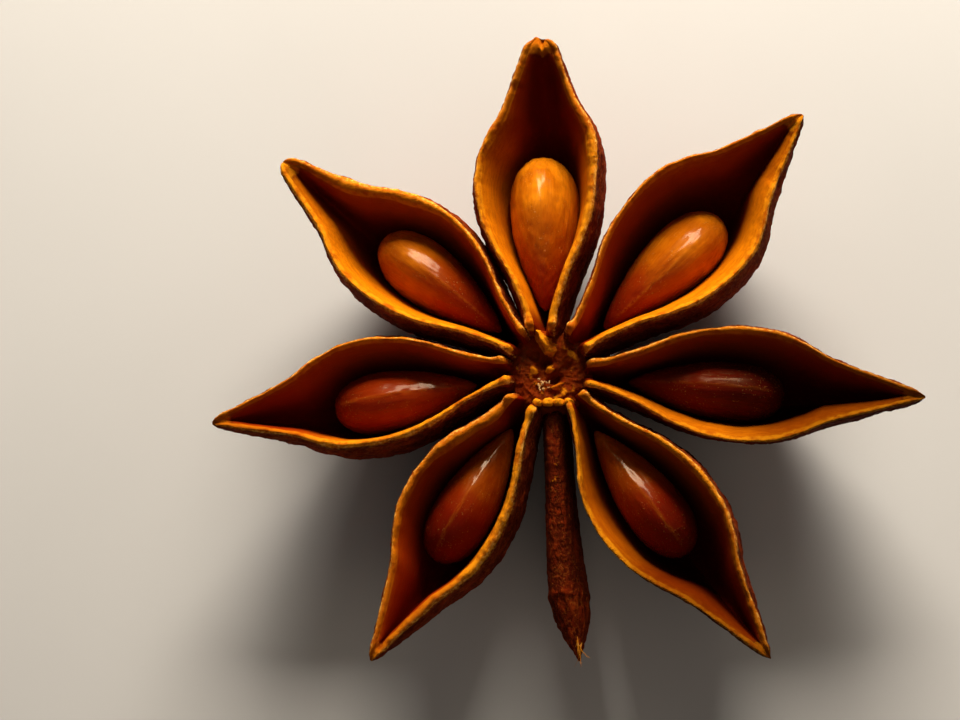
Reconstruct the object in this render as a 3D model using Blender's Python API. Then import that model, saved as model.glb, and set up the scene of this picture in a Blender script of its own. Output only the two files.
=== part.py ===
"""Star anise pod: a dried, woody star of eight carpels round a short column.

Seven carpels have split open along the top into deep boats, each with one loose seed. The
eighth never ripened: it is thin, shut and lower than the rest. Lengths are in millimetres until
they reach a mesh. +Z is up, the pod rests on z = 0, and the column's axis is x = y = 0.
"""
from dataclasses import dataclass

import bmesh
import bpy
import numpy as np

MM = 0.001

# Whole pod
RIM_HEIGHT = 7.4          # the mouths' edges above the resting plane, at mid length
CUT_CLEARANCE = 1.6       # how far a hollow's cutter stands above the rims

# Open carpel. Stations run from the column's axis (0) to the beak's end (1).
STATIONS = 17
ROOT_STATION = 0.04       # the carpel starts inside the column
MOUTH = ((0.0, 0.20), (0.11, 0.23), (0.22, 0.44), (0.34, 0.80), (0.42, 0.95), (0.50, 1.0),
         (0.58, 0.965), (0.66, 0.81), (0.74, 0.56), (0.82, 0.38), (0.92, 0.17), (1.0, 0.0))
MOUTH_BELLY = 0.50        # the station where the MOUTH curve is widest
RIM_LINE = ((0.0, -2.2), (0.07, -1.6), (0.13, -0.15), (0.24, 0.1), (0.50, 0.0), (0.80, 0.15),
            (1.0, 0.6))   # rim height above RIM_HEIGHT
KEEL_LINE = ((0.0, 2.4), (0.14, 1.1), (0.30, 0.0), (0.52, 0.0), (0.66, 0.9), (0.80, 2.8),
             (0.92, 5.2), (1.0, 7.0))
BULGE_LINE = ((0.0, 0.0), (0.15, 0.36), (0.35, 0.40), (0.55, 0.45), (0.75, 0.32), (1.0, 0.02))
DEPTHS = (0.0, 0.18, 0.42, 0.68, 0.88, 1.0)   # 0 at the rim, 1 at the keel
KEEL_HALF = 0.22          # half width of the keel's flat
BULGE_DEPTH = 0.72        # the bulge fades out at this depth
FULLNESS = (2.6, 0.66)    # the wall's curve: (1 - depth ** a) ** b

# Hollow of an open carpel
HOLLOW_STATIONS = 13
HOLLOW_START = 2.25       # distance of the hollow's inner end from the column's axis
HOLLOW_END = 0.95         # station of its outer end
RIM_THICKNESS = 0.36      # width of the rim's top face
WALL = 0.42               # thickness of the side walls further down
HOLLOW_SWELL = 0.25       # share of the outside's bulge that the hollow follows: inside, the
                          # walls slope in towards the seed
FLOOR_LINE = ((0.0, 4.0), (0.16, 2.2), (0.28, 1.05), (0.52, 0.95), (0.66, 1.9), (0.80, 3.9),
              (0.92, 6.4), (1.0, 7.7))
SLIT_HALF = 0.12          # least half width of the hollow, where it runs out to a slit

# Seed
SEED_SEGMENTS = 12
SEED_RINGS = 10
SEED_HEIGHT = 4.5         # height of a seed's middle
SEED_TAPER = 0.35         # how much blunter the outer end is than the inner one
SEED_BLUNT = (2.4, 0.50)  # the outer half's outline is (1 - u^a)^b along the seed
SEED_POINT = (1.8, 0.65)  # the inner half's outline, in the same way
SEED_RIDGE = 0.08         # height of the ridge along the upper edge

# Closed carpel
SHUT_AZIMUTH = -84.9
SHUT_LENGTH = 13.7
SHUT_SIDE = ((0.0, 0.60), (0.3, 0.62), (0.55, 0.78), (0.80, 1.0), (0.90, 0.62), (1.0, 0.12))
SHUT_CREST = ((0.0, 6.5), (0.15, 6.55), (0.50, 5.9), (0.80, 5.5), (1.0, 4.7))
SHUT_KEEL = ((0.0, 2.4), (0.2, 1.2), (0.45, 0.5), (0.70, 1.1), (0.90, 2.9), (1.0, 4.2))
SHUT_BOW = -0.32          # how far it bows sideways past mid length
SHUT_FULLNESS = 0.55      # power of the shut pod's rounded sides

# Column, stalk stub and the bar that closes the shut carpel's inner end
COLUMN_SEGMENTS = 28
COLUMN = ((0.0, 0.0), (0.95, 0.0), (0.92, 0.8), (1.75, 1.7), (2.0, 3.0), (1.95, 5.4),
          (1.72, 6.15), (1.35, 6.3), (0.95, 6.0), (0.50, 5.95), (0.34, 6.45), (0.0, 6.6))
BAR_SIZE = (2.15, 0.42, 1.5)
BAR_CENTRE = (0.15, -1.62, 6.2)

HUSK_COLOUR = (0.125, 0.046, 0.020, 1.0)
SEED_COLOUR = (0.300, 0.095, 0.026, 1.0)


@dataclass(frozen=True)
class Carpel:
    """One open carpel. Left is the counter-clockwise side, seen from above."""

    name: str
    azimuth: float        # degrees from +X
    length: float         # column axis to beak
    left: float           # widest half width of the mouth on each side
    right: float
    left_belly: float     # station of that widest place
    right_belly: float
    root_shift: float     # how far the inner end lies to the left
    tip_half: float       # half width of the beak's end
    lift: float           # rim height compared with the other carpels
    seed_reach: float     # distance of the seed's middle from the column's axis
    seed_half: tuple      # half length, half thickness and half height of the seed
    seed_shift: float     # how far the seed lies to the left


CARPELS = (
    Carpel("n", 90.7, 16.05, 3.30, 2.57, 0.57, 0.62, 0.34, 0.62, 0.10,
           7.02, (3.80, 1.60, 2.15), 0.26),
    Carpel("ne", 44.0, 17.02, 3.07, 3.18, 0.54, 0.55, -0.08, 0.10, 0.15,
           7.28, (3.85, 1.54, 2.15), -0.12),
    Carpel("e", -5.8, 17.68, 2.70, 2.74, 0.52, 0.52, -0.12, 0.14, -0.05,
           7.40, (3.75, 1.42, 2.05), 0.00),
    Carpel("se", -53.3, 17.16, 2.78, 2.84, 0.51, 0.47, 0.12, 0.10, 0.05,
           7.05, (3.65, 1.44, 2.10), 0.02),
    Carpel("sw", -121.2, 16.03, 2.14, 2.93, 0.53, 0.47, -0.24, 0.10, -0.10,
           6.80, (3.65, 1.40, 2.05), -0.32),
    Carpel("w", -171.5, 16.21, 2.24, 2.86, 0.54, 0.52, -0.26, 0.14, -0.05,
           7.15, (3.55, 1.42, 2.05), -0.17),
    Carpel("nw", 141.1, 16.41, 2.62, 2.94, 0.57, 0.51, -0.10, 0.34, 0.05,
           7.05, (3.75, 1.50, 2.15), -0.20),
)


def clear_scene():
    """Remove every object that the start-up file brought."""
    for thing in list(bpy.data.objects):
        bpy.data.objects.remove(thing, do_unlink=True)


def smooth_through(points, at):
    """Value at `at` of the cubic through `points` that never overshoots them."""
    x, y = np.array(points, float).T
    step = np.diff(x)
    rise = np.diff(y) / step
    slope = np.concatenate(([rise[0]], np.zeros(len(x) - 2), [rise[-1]]))
    turning = rise[:-1] * rise[1:] > 0
    mean = 2 * rise[:-1] * rise[1:] / np.where(turning, rise[:-1] + rise[1:], 1.0)
    slope[1:-1] = np.where(turning, mean, 0.0)
    at = np.clip(at, x[0], x[-1])
    i = np.clip(np.searchsorted(x, at, side="right") - 1, 0, len(step) - 1)
    u = (at - x[i]) / step[i]
    return ((1 + 2 * u) * (1 - u) ** 2 * y[i] + u * (1 - u) ** 2 * step[i] * slope[i]
            + u * u * (3 - 2 * u) * y[i + 1] + u * u * (u - 1) * step[i] * slope[i + 1])


def material(name, colour, roughness):
    """A plain Principled material."""
    made = bpy.data.materials.new(name)
    made.use_nodes = True
    shader = made.node_tree.nodes["Principled BSDF"]
    shader.inputs["Base Color"].default_value = colour
    shader.inputs["Roughness"].default_value = roughness
    made.diffuse_color = colour
    return made


def new_object(name, mesh_source, surface, home):
    """Turn a bmesh in millimetres into an object in metres and file it in `home`."""
    mesh_source.normal_update()
    bmesh.ops.recalc_face_normals(mesh_source, faces=mesh_source.faces)
    bmesh.ops.scale(mesh_source, vec=(MM, MM, MM), verts=mesh_source.verts)
    mesh = bpy.data.meshes.new(name)
    mesh_source.to_mesh(mesh)
    mesh_source.free()
    mesh.materials.append(surface)
    made = bpy.data.objects.new(name, mesh)
    home.objects.link(made)
    return made


def loft(rings):
    """A closed bmesh skinned over rings of points, capped at both ends."""
    shape = bmesh.new()
    loops = [[shape.verts.new(point) for point in ring] for ring in rings]
    count = len(loops[0])
    for near, far in zip(loops, loops[1:]):
        for i in range(count):
            j = (i + 1) % count
            shape.faces.new((near[i], near[j], far[j], far[i]))
    shape.faces.new(loops[0])
    shape.faces.new(loops[-1])
    return shape


def turned(shape, azimuth):
    """Turn a shape built along +X to its azimuth about the column."""
    turn = np.radians(azimuth)
    c, s = np.cos(turn), np.sin(turn)
    for vert in shape.verts:
        x, y, z = vert.co
        vert.co = (c * x - s * y, s * x + c * y, z)
    return shape


def mouth_half(carpel, station, left):
    """Half width of a mouth's outer edge at a station, on one side."""
    belly = carpel.left_belly if left else carpel.right_belly
    widest = carpel.left if left else carpel.right
    warped = np.interp(station, (0.0, belly, 1.0), (0.0, MOUTH_BELLY, 1.0))
    bluntness = carpel.tip_half * max(0.0, (station - 0.6) / 0.4) ** 1.5
    return max(widest * smooth_through(MOUTH, warped), 0.03) + bluntness


def centre_line(carpel, station):
    """Sideways place of the mouth's middle: the inner end is bent off the axis."""
    return carpel.root_shift * max(0.0, 1.0 - station / 0.4) ** 1.5


def rim_z(carpel, station):
    """Height of a mouth's edge at a station."""
    grown = min(1.0, station / 0.3)
    return RIM_HEIGHT + carpel.lift * grown + smooth_through(RIM_LINE, station)


def fullness(depth):
    """Half width of the wall at a depth, as a share of its width at the rim."""
    power, root = FULLNESS
    return (1.0 - depth ** power) ** root


def husk_ring(carpel, station):
    """Outer section of an open carpel, from the left rim over the keel to the right one."""
    top = rim_z(carpel, station)
    keel = smooth_through(KEEL_LINE, station)
    bulge = smooth_through(BULGE_LINE, station)
    middle = centre_line(carpel, station)
    x = station * carpel.length
    sides = []
    for sign in (1.0, -1.0):
        wide = mouth_half(carpel, station, sign > 0)
        flat = min(KEEL_HALF, 0.6 * wide)
        side = []
        for depth in DEPTHS:
            swell = bulge * np.sin(np.pi * min(1.0, depth / BULGE_DEPTH))
            y = flat + (wide - flat) * fullness(depth) + swell
            side.append((x, middle + sign * y, top - depth * (top - keel)))
        sides.append(side)
    return sides[0] + sides[1][::-1]


def hollow_ring(carpel, station):
    """Section of the cutter that hollows an open carpel."""
    top = rim_z(carpel, station)
    floor = smooth_through(FLOOR_LINE, station) + 0.5 * carpel.lift
    bulge = smooth_through(BULGE_LINE, station)
    middle = centre_line(carpel, station)
    x = station * carpel.length
    sides = []
    for sign in (1.0, -1.0):
        wide = mouth_half(carpel, station, sign > 0)
        mouth = max(SLIT_HALF, wide - RIM_THICKNESS)
        inner = max(SLIT_HALF, wide - WALL)
        side = [(x, middle + sign * mouth, top + CUT_CLEARANCE)]
        for depth in DEPTHS:
            swell = HOLLOW_SWELL * bulge * np.sin(np.pi * min(1.0, depth / BULGE_DEPTH))
            y = mouth if depth == 0.0 else 0.3 * SLIT_HALF + inner * fullness(depth) + swell
            side.append((x, middle + sign * y, top - depth * (top - floor)))
        sides.append(side)
    return sides[0] + sides[1][::-1]


def shut_ring(station):
    """Section of the shut carpel: a thin lens standing on its edge."""
    crest = smooth_through(SHUT_CREST, station)
    keel = smooth_through(SHUT_KEEL, station)
    half = smooth_through(SHUT_SIDE, station)
    turns = np.linspace(0.0, 2.0 * np.pi, 12, endpoint=False)
    y = half * np.sign(np.sin(turns)) * np.abs(np.sin(turns)) ** SHUT_FULLNESS
    z = (crest + keel) / 2 + (crest - keel) / 2 * np.cos(turns)
    bow = SHUT_BOW * np.sin(np.pi * station ** 1.5)
    return [(station * SHUT_LENGTH, bow + a, b) for a, b in zip(y, z)]


def column_shape():
    """Column with its stalk stub, turned from the COLUMN profile."""
    shape = bmesh.new()
    profile = [shape.verts.new((r, 0.0, z)) for r, z in COLUMN]
    edges = [shape.edges.new(pair) for pair in zip(profile, profile[1:])]
    bmesh.ops.spin(shape, geom=profile + edges, cent=(0, 0, 0), axis=(0, 0, 1),
                   angle=2 * np.pi, steps=COLUMN_SEGMENTS, use_merge=True)
    bmesh.ops.remove_doubles(shape, verts=shape.verts, dist=0.001)
    return shape


def seed_girth(along):
    """Girth of a seed from its inner end at -1 to its blunt end at 1."""
    power, root = SEED_BLUNT if along > 0.0 else SEED_POINT
    return max(0.0, 1.0 - abs(along) ** power) ** root * (1.0 + SEED_TAPER * along)


def seed_shape(carpel):
    """A seed lying on edge: an egg, flatter across than high, blunter outwards."""
    shape = bmesh.new()
    bmesh.ops.create_uvsphere(shape, u_segments=SEED_SEGMENTS, v_segments=SEED_RINGS, radius=1.0)
    widest = max(seed_girth(step / 50.0) for step in range(50))
    long, thick, high = carpel.seed_half
    for vert in shape.verts:
        z, y, x = vert.co
        round_ball = np.sqrt(max(1e-9, 1.0 - x * x))
        wider = seed_girth(x) / (widest * round_ball)
        ridge = SEED_RIDGE * max(0.0, z) ** 6 * (1.0 - x * x)
        vert.co = (carpel.seed_reach + long * x,
                   carpel.seed_shift + thick * y * wider,
                   SEED_HEIGHT + high * z * wider + ridge)
    return turned(shape, carpel.azimuth)


def bar_shape():
    """The short bar across the shut carpel's inner end."""
    shape = bmesh.new()
    bmesh.ops.create_cube(shape, size=1.0)
    bmesh.ops.scale(shape, vec=BAR_SIZE, verts=shape.verts)
    bmesh.ops.bevel(shape, geom=shape.edges, offset=0.12, segments=1, affect="EDGES")
    bmesh.ops.translate(shape, vec=BAR_CENTRE, verts=shape.verts)
    return shape


def guide(name, shape, surface, home):
    """An object that only feeds a Boolean."""
    made = new_object(name, shape, surface, home)
    made.hide_render = True
    made.display_type = "WIRE"
    return made


def boolean(target, name, operation, collection):
    """Add an exact Boolean with every object of a collection."""
    cut = target.modifiers.new(name, "BOOLEAN")
    cut.operation = operation
    cut.solver = "EXACT"
    cut.operand_type = "COLLECTION"
    cut.collection = collection


def build_husk(scene_home, surface):
    """The woody part: column, carpels and bar joined, then the seven hollows cut."""
    added = bpy.data.collections.new("husk_added")
    hollows = bpy.data.collections.new("husk_hollows")
    for collection in (added, hollows):
        scene_home.children.link(collection)
    for carpel in CARPELS:
        outer = [husk_ring(carpel, s) for s in np.linspace(ROOT_STATION, 1.0, STATIONS)]
        guide("carpel_" + carpel.name, turned(loft(outer), carpel.azimuth), surface, added)
        start = HOLLOW_START / carpel.length
        inner = [hollow_ring(carpel, s) for s in np.linspace(start, HOLLOW_END, HOLLOW_STATIONS)]
        guide("hollow_" + carpel.name, turned(loft(inner), carpel.azimuth), surface, hollows)
    shut = [shut_ring(s) for s in np.linspace(ROOT_STATION, 1.0, STATIONS - 4)]
    guide("carpel_s", turned(loft(shut), SHUT_AZIMUTH), surface, added)
    guide("bar", bar_shape(), surface, added)
    husk = new_object("husk", column_shape(), surface, scene_home)
    boolean(husk, "join carpels", "UNION", added)
    boolean(husk, "hollow carpels", "DIFFERENCE", hollows)


def build_seeds(scene_home, surface):
    """One loose seed in each open carpel."""
    for carpel in CARPELS:
        seed = new_object("seed_" + carpel.name, seed_shape(carpel), surface, scene_home)
        seed.data.shade_smooth()


def main():
    clear_scene()
    home = bpy.context.scene.collection
    build_husk(home, material("husk_wood", HUSK_COLOUR, 0.75))
    build_seeds(home, material("seed_coat", SEED_COLOUR, 0.22))


main()
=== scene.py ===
"""Looks of a dried star anise pod: woody carpels, glossy seeds, a rough column.

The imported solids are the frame. Every visible piece is a closed surface worked out with numpy
on a grid of two parameters, in millimetres, and written to a mesh in metres.
"""
import itertools
import logging
from dataclasses import dataclass, field
from enum import Enum

import bpy
import numpy as np
from mathutils import Matrix, Vector


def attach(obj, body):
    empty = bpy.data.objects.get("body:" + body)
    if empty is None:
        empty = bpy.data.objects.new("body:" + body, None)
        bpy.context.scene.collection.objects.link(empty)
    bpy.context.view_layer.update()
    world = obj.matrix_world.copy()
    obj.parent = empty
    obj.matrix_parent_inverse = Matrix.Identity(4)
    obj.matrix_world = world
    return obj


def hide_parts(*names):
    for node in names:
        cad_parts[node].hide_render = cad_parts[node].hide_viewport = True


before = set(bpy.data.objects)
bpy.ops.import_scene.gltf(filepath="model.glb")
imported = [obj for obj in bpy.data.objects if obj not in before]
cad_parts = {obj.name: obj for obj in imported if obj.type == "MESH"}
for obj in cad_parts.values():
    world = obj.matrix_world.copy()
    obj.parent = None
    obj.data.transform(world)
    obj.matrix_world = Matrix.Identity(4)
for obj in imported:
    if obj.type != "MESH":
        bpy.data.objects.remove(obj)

MM = 0.001
BODY = "root"
Curve = tuple[tuple[float, float], ...]
Colour = tuple[float, float, float]

log = logging.getLogger("star_anise")


class Slot(Enum):
    """The record's material slots."""

    HUSK = "husk_wood"
    SEED = "seed_coat"


# ---------------------------------------------------------------- curves, noise and grids


def smooth_through(points: Curve, at: np.ndarray) -> np.ndarray:
    """Cubic through (x, y) points that never overshoots them.

    Between two points it is the Hermite cubic whose end slopes are the harmonic mean of the
    neighbouring chords, or zero where the curve turns.

    Args:
        points: the curve's points, by rising x.
        at: where to read it; values past the ends are held at the ends.

    Returns:
        The curve's values, shaped like `at`.
    """
    x, y = np.array(points, float).T
    step = np.diff(x)
    rise = np.diff(y) / step
    slope = np.concatenate(([rise[0]], np.zeros(len(x) - 2), [rise[-1]]))
    turning = rise[:-1] * rise[1:] > 0
    mean = 2 * rise[:-1] * rise[1:] / np.where(turning, rise[:-1] + rise[1:], 1.0)
    slope[1:-1] = np.where(turning, mean, 0.0)
    at = np.clip(at, x[0], x[-1])
    i = np.clip(np.searchsorted(x, at, side="right") - 1, 0, len(step) - 1)
    u = (at - x[i]) / step[i]
    return ((1 + 2 * u) * (1 - u) ** 2 * y[i] + u * (1 - u) ** 2 * step[i] * slope[i]
            + u * u * (3 - 2 * u) * y[i + 1] + u * u * (u - 1) * step[i] * slope[i + 1])


def ease(low: float, high: float, value: np.ndarray) -> np.ndarray:
    """0 below `low`, 1 above `high` and the cubic 3t^2 - 2t^3 between; high < low reverses."""
    t = np.clip((value - low) / (high - low), 0.0, 1.0)
    return t * t * (3.0 - 2.0 * t)


def around(count: int) -> np.ndarray:
    """A row of even angles round a section, `count` to the full turn."""
    return np.linspace(0.0, 2.0 * np.pi, count, endpoint=False)[None, :]


def signed_power(value: np.ndarray, power: float) -> np.ndarray:
    """The value's size raised to a power, with its sign kept."""
    return np.sign(value) * np.abs(value) ** power


def drawn_out(place: np.ndarray, share: float) -> np.ndarray:
    """Places squeezed along X, so that noise read there is drawn out along the piece."""
    return place * np.array((share, 1.0, 1.0))


def wood_fields(shape: tuple[int, ...], **masks: object) -> dict[str, np.ndarray]:
    """The wood finish's masks for one sheet: zero, but for those given.

    Args:
        shape: the sheet's rows and columns.
        masks: arrays or single values by the mask's name.

    Returns:
        The masks by name, each of that shape.
    """
    names = ("inside", "edge", "depth", "rise", "tone", "lip")
    given = {name: np.broadcast_to(value, shape) for name, value in masks.items()}
    return {name: np.zeros(shape) for name in names} | given


class Noise:
    """Gradient noise in space: smooth random bumps, the same on every run."""

    cells: int = 256
    gain: float = 1.6
    layer_shift: float = 7.3

    def __init__(self, seed: int) -> None:
        """Shuffle the lattice and draw its slopes.

        Args:
            seed: the random seed; each seed gives bumps of its own.
        """
        rng = np.random.default_rng(seed)
        self.order = rng.permutation(self.cells)
        slopes = rng.normal(size=(self.cells, 3))
        self.slopes = slopes / np.linalg.norm(slopes, axis=1, keepdims=True)

    def at(self, points: np.ndarray, size: float) -> np.ndarray:
        """Noise from about -1 to 1.

        Each lattice corner adds the dot product of its slope and the offset to the point,
        weighted by the quintic fade along each axis.

        Args:
            points: where to read it, with the coordinates on the last axis.
            size: the width of a bump, in the points' own unit.

        Returns:
            One value for each point.
        """
        wrap = self.cells - 1
        place = points / size
        cell = np.floor(place)
        part = place - cell
        cell = cell.astype(int)
        fade = part ** 3 * (part * (part * 6.0 - 15.0) + 10.0)
        total = np.zeros(points.shape[:-1])
        for corner in itertools.product((0, 1), repeat=3):
            step = np.array(corner)
            q = cell + step
            key = self.order[q[..., 0] & wrap]
            key = self.order[(key + q[..., 1]) & wrap]
            key = self.order[(key + q[..., 2]) & wrap]
            weight = np.prod(np.where(step, fade, 1.0 - fade), axis=-1)
            total += weight * np.einsum("...i,...i", self.slopes[key], part - step)
        return self.gain * total

    def layered(self, points: np.ndarray, size: float, layers: int = 3) -> np.ndarray:
        """Sum of layers, each with half the bump size and half the height of the last."""
        return sum(self.at(points + self.layer_shift * n, size / 2 ** n) / 2 ** n
                   for n in range(layers))

    def ridged(self, points: np.ndarray, size: float) -> np.ndarray:
        """Sharp winding ridges: 1 where the noise is zero, falling on both sides."""
        return 1.0 - 2.0 * np.abs(self.layered(points, size, 2))


@dataclass
class Sheet:
    """A closed surface on a grid: rows along it, columns round it, poles at both ends.

    `points` is (rows, columns, 3) in millimetres; the columns wrap round. `fields` holds one
    (rows, columns) mask for each vertex attribute, and `local` the unturned coordinates.
    """

    points: np.ndarray
    fields: dict[str, np.ndarray] = field(default_factory=dict)
    local: np.ndarray | None = None

    def volume_sign(self) -> float:
        """Sign of the enclosed volume: the sum of p . (du x dv) over the grid.

        Returns:
            1.0 where the grid's two directions already point outwards, else -1.0.
        """
        centre = self.points.mean((0, 1))
        p = self.points - centre
        du = np.gradient(p, axis=0)
        dv = (np.roll(p, -1, 1) - np.roll(p, 1, 1)) / 2
        return float(np.sign((p * np.cross(du, dv)).sum()))

    def normals(self) -> np.ndarray:
        """Outward unit normals: the cross product of the two grid directions.

        Returns:
            One normal for each point, shaped like `points`.
        """
        du = np.gradient(self.points, axis=0)
        dv = (np.roll(self.points, -1, 1) - np.roll(self.points, 1, 1)) / 2
        normal = np.cross(du, dv) * self.volume_sign()
        return normal / (np.linalg.norm(normal, axis=-1, keepdims=True) + 1e-9)

    def push(self, height: np.ndarray) -> None:
        """Move every point along its normal by `height`."""
        self.points = self.points + self.normals() * height[..., None]

    def turn(self, degrees: float) -> None:
        """Turn the sheet about the Z axis.

        Args:
            degrees: the angle, counter-clockwise seen from above.
        """
        a = np.radians(degrees)
        c, s = np.cos(a), np.sin(a)
        x, y, z = np.moveaxis(self.points, -1, 0)
        self.points = np.stack((c * x - s * y, s * x + c * y, z), axis=-1)

    def flat(self, name: str) -> np.ndarray:
        """A field as one value for each vertex, with the two poles at the end.

        Args:
            name: the field's name, or "local" for the unturned coordinates.

        Returns:
            The values in vertex order.
        """
        values = self.local if name == "local" else self.fields[name]
        shape = values.shape[2:]
        ends = np.stack((values[0].mean(0), values[-1].mean(0)))
        return np.concatenate((values.reshape(-1, *shape), ends))

    def faces(self) -> tuple[np.ndarray, np.ndarray]:
        """Corner indices of the faces, all turned outwards.

        Returns:
            The quads between the rings, and the triangles round the two poles.
        """
        rows, cols = self.points.shape[:2]
        index = np.arange(rows * cols).reshape(rows, cols)
        beside = np.roll(index, -1, axis=1)
        quads = np.stack((index[:-1], index[1:], beside[1:], beside[:-1]), -1).reshape(-1, 4)
        low = np.full(cols, rows * cols)
        near = np.stack((low, index[0], beside[0]), -1)
        far = np.stack((low + 1, beside[-1], index[-1]), -1)
        if self.volume_sign() < 0:
            quads, near, far = quads[:, ::-1], near[:, ::-1], far[:, ::-1]
        return quads, np.concatenate((near, far))


def make_mesh(name: str, sheets: list[Sheet]) -> bpy.types.Object:
    """Join sheets into one smooth object in metres.

    Args:
        name: the piece's name.
        sheets: the closed surfaces, in millimetres; all have the same fields.

    Returns:
        The new object, at the origin, in the scene.
    """
    corners, starts, points, base, count = [], [], [], 0, 0
    for sheet in sheets:
        ends = np.stack((sheet.points[0].mean(0), sheet.points[-1].mean(0)))
        body = np.concatenate((sheet.points.reshape(-1, 3), ends))
        points.append(body)
        for group in sheet.faces():
            corners.append((group + base).ravel())
            starts.append(count + np.arange(len(group)) * group.shape[1])
            count += group.size
        base += len(body)
    mesh = bpy.data.meshes.new(name)
    mesh.vertices.add(base)
    mesh.vertices.foreach_set("co", (np.concatenate(points) * MM).ravel())
    mesh.loops.add(count)
    mesh.loops.foreach_set("vertex_index", np.concatenate(corners).astype(np.int32))
    starts = np.concatenate(starts).astype(np.int32)
    mesh.polygons.add(len(starts))
    mesh.polygons.foreach_set("loop_start", starts)
    mesh.update(calc_edges=True)
    for label in sheets[0].fields:
        layer = mesh.attributes.new(label, "FLOAT", "POINT")
        layer.data.foreach_set("value", np.concatenate([s.flat(label) for s in sheets]))
    if sheets[0].local is not None:
        layer = mesh.attributes.new("local", "FLOAT_VECTOR", "POINT")
        layer.data.foreach_set("vector", np.concatenate([s.flat("local") for s in sheets]).ravel())
    mesh.validate()
    mesh.shade_smooth()
    made = bpy.data.objects.new(name, mesh)
    bpy.context.scene.collection.objects.link(made)
    return made


def fit_in(made: bpy.types.Object, node: str) -> bpy.types.Object:
    """Ride a piece on the pod's body in place of its solid.

    Args:
        made: the piece.
        node: the solid that it replaces.

    Returns:
        The same piece.
    """
    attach(made, BODY)
    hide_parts(node)
    return made


# ---------------------------------------------------------------- shader building


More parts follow.
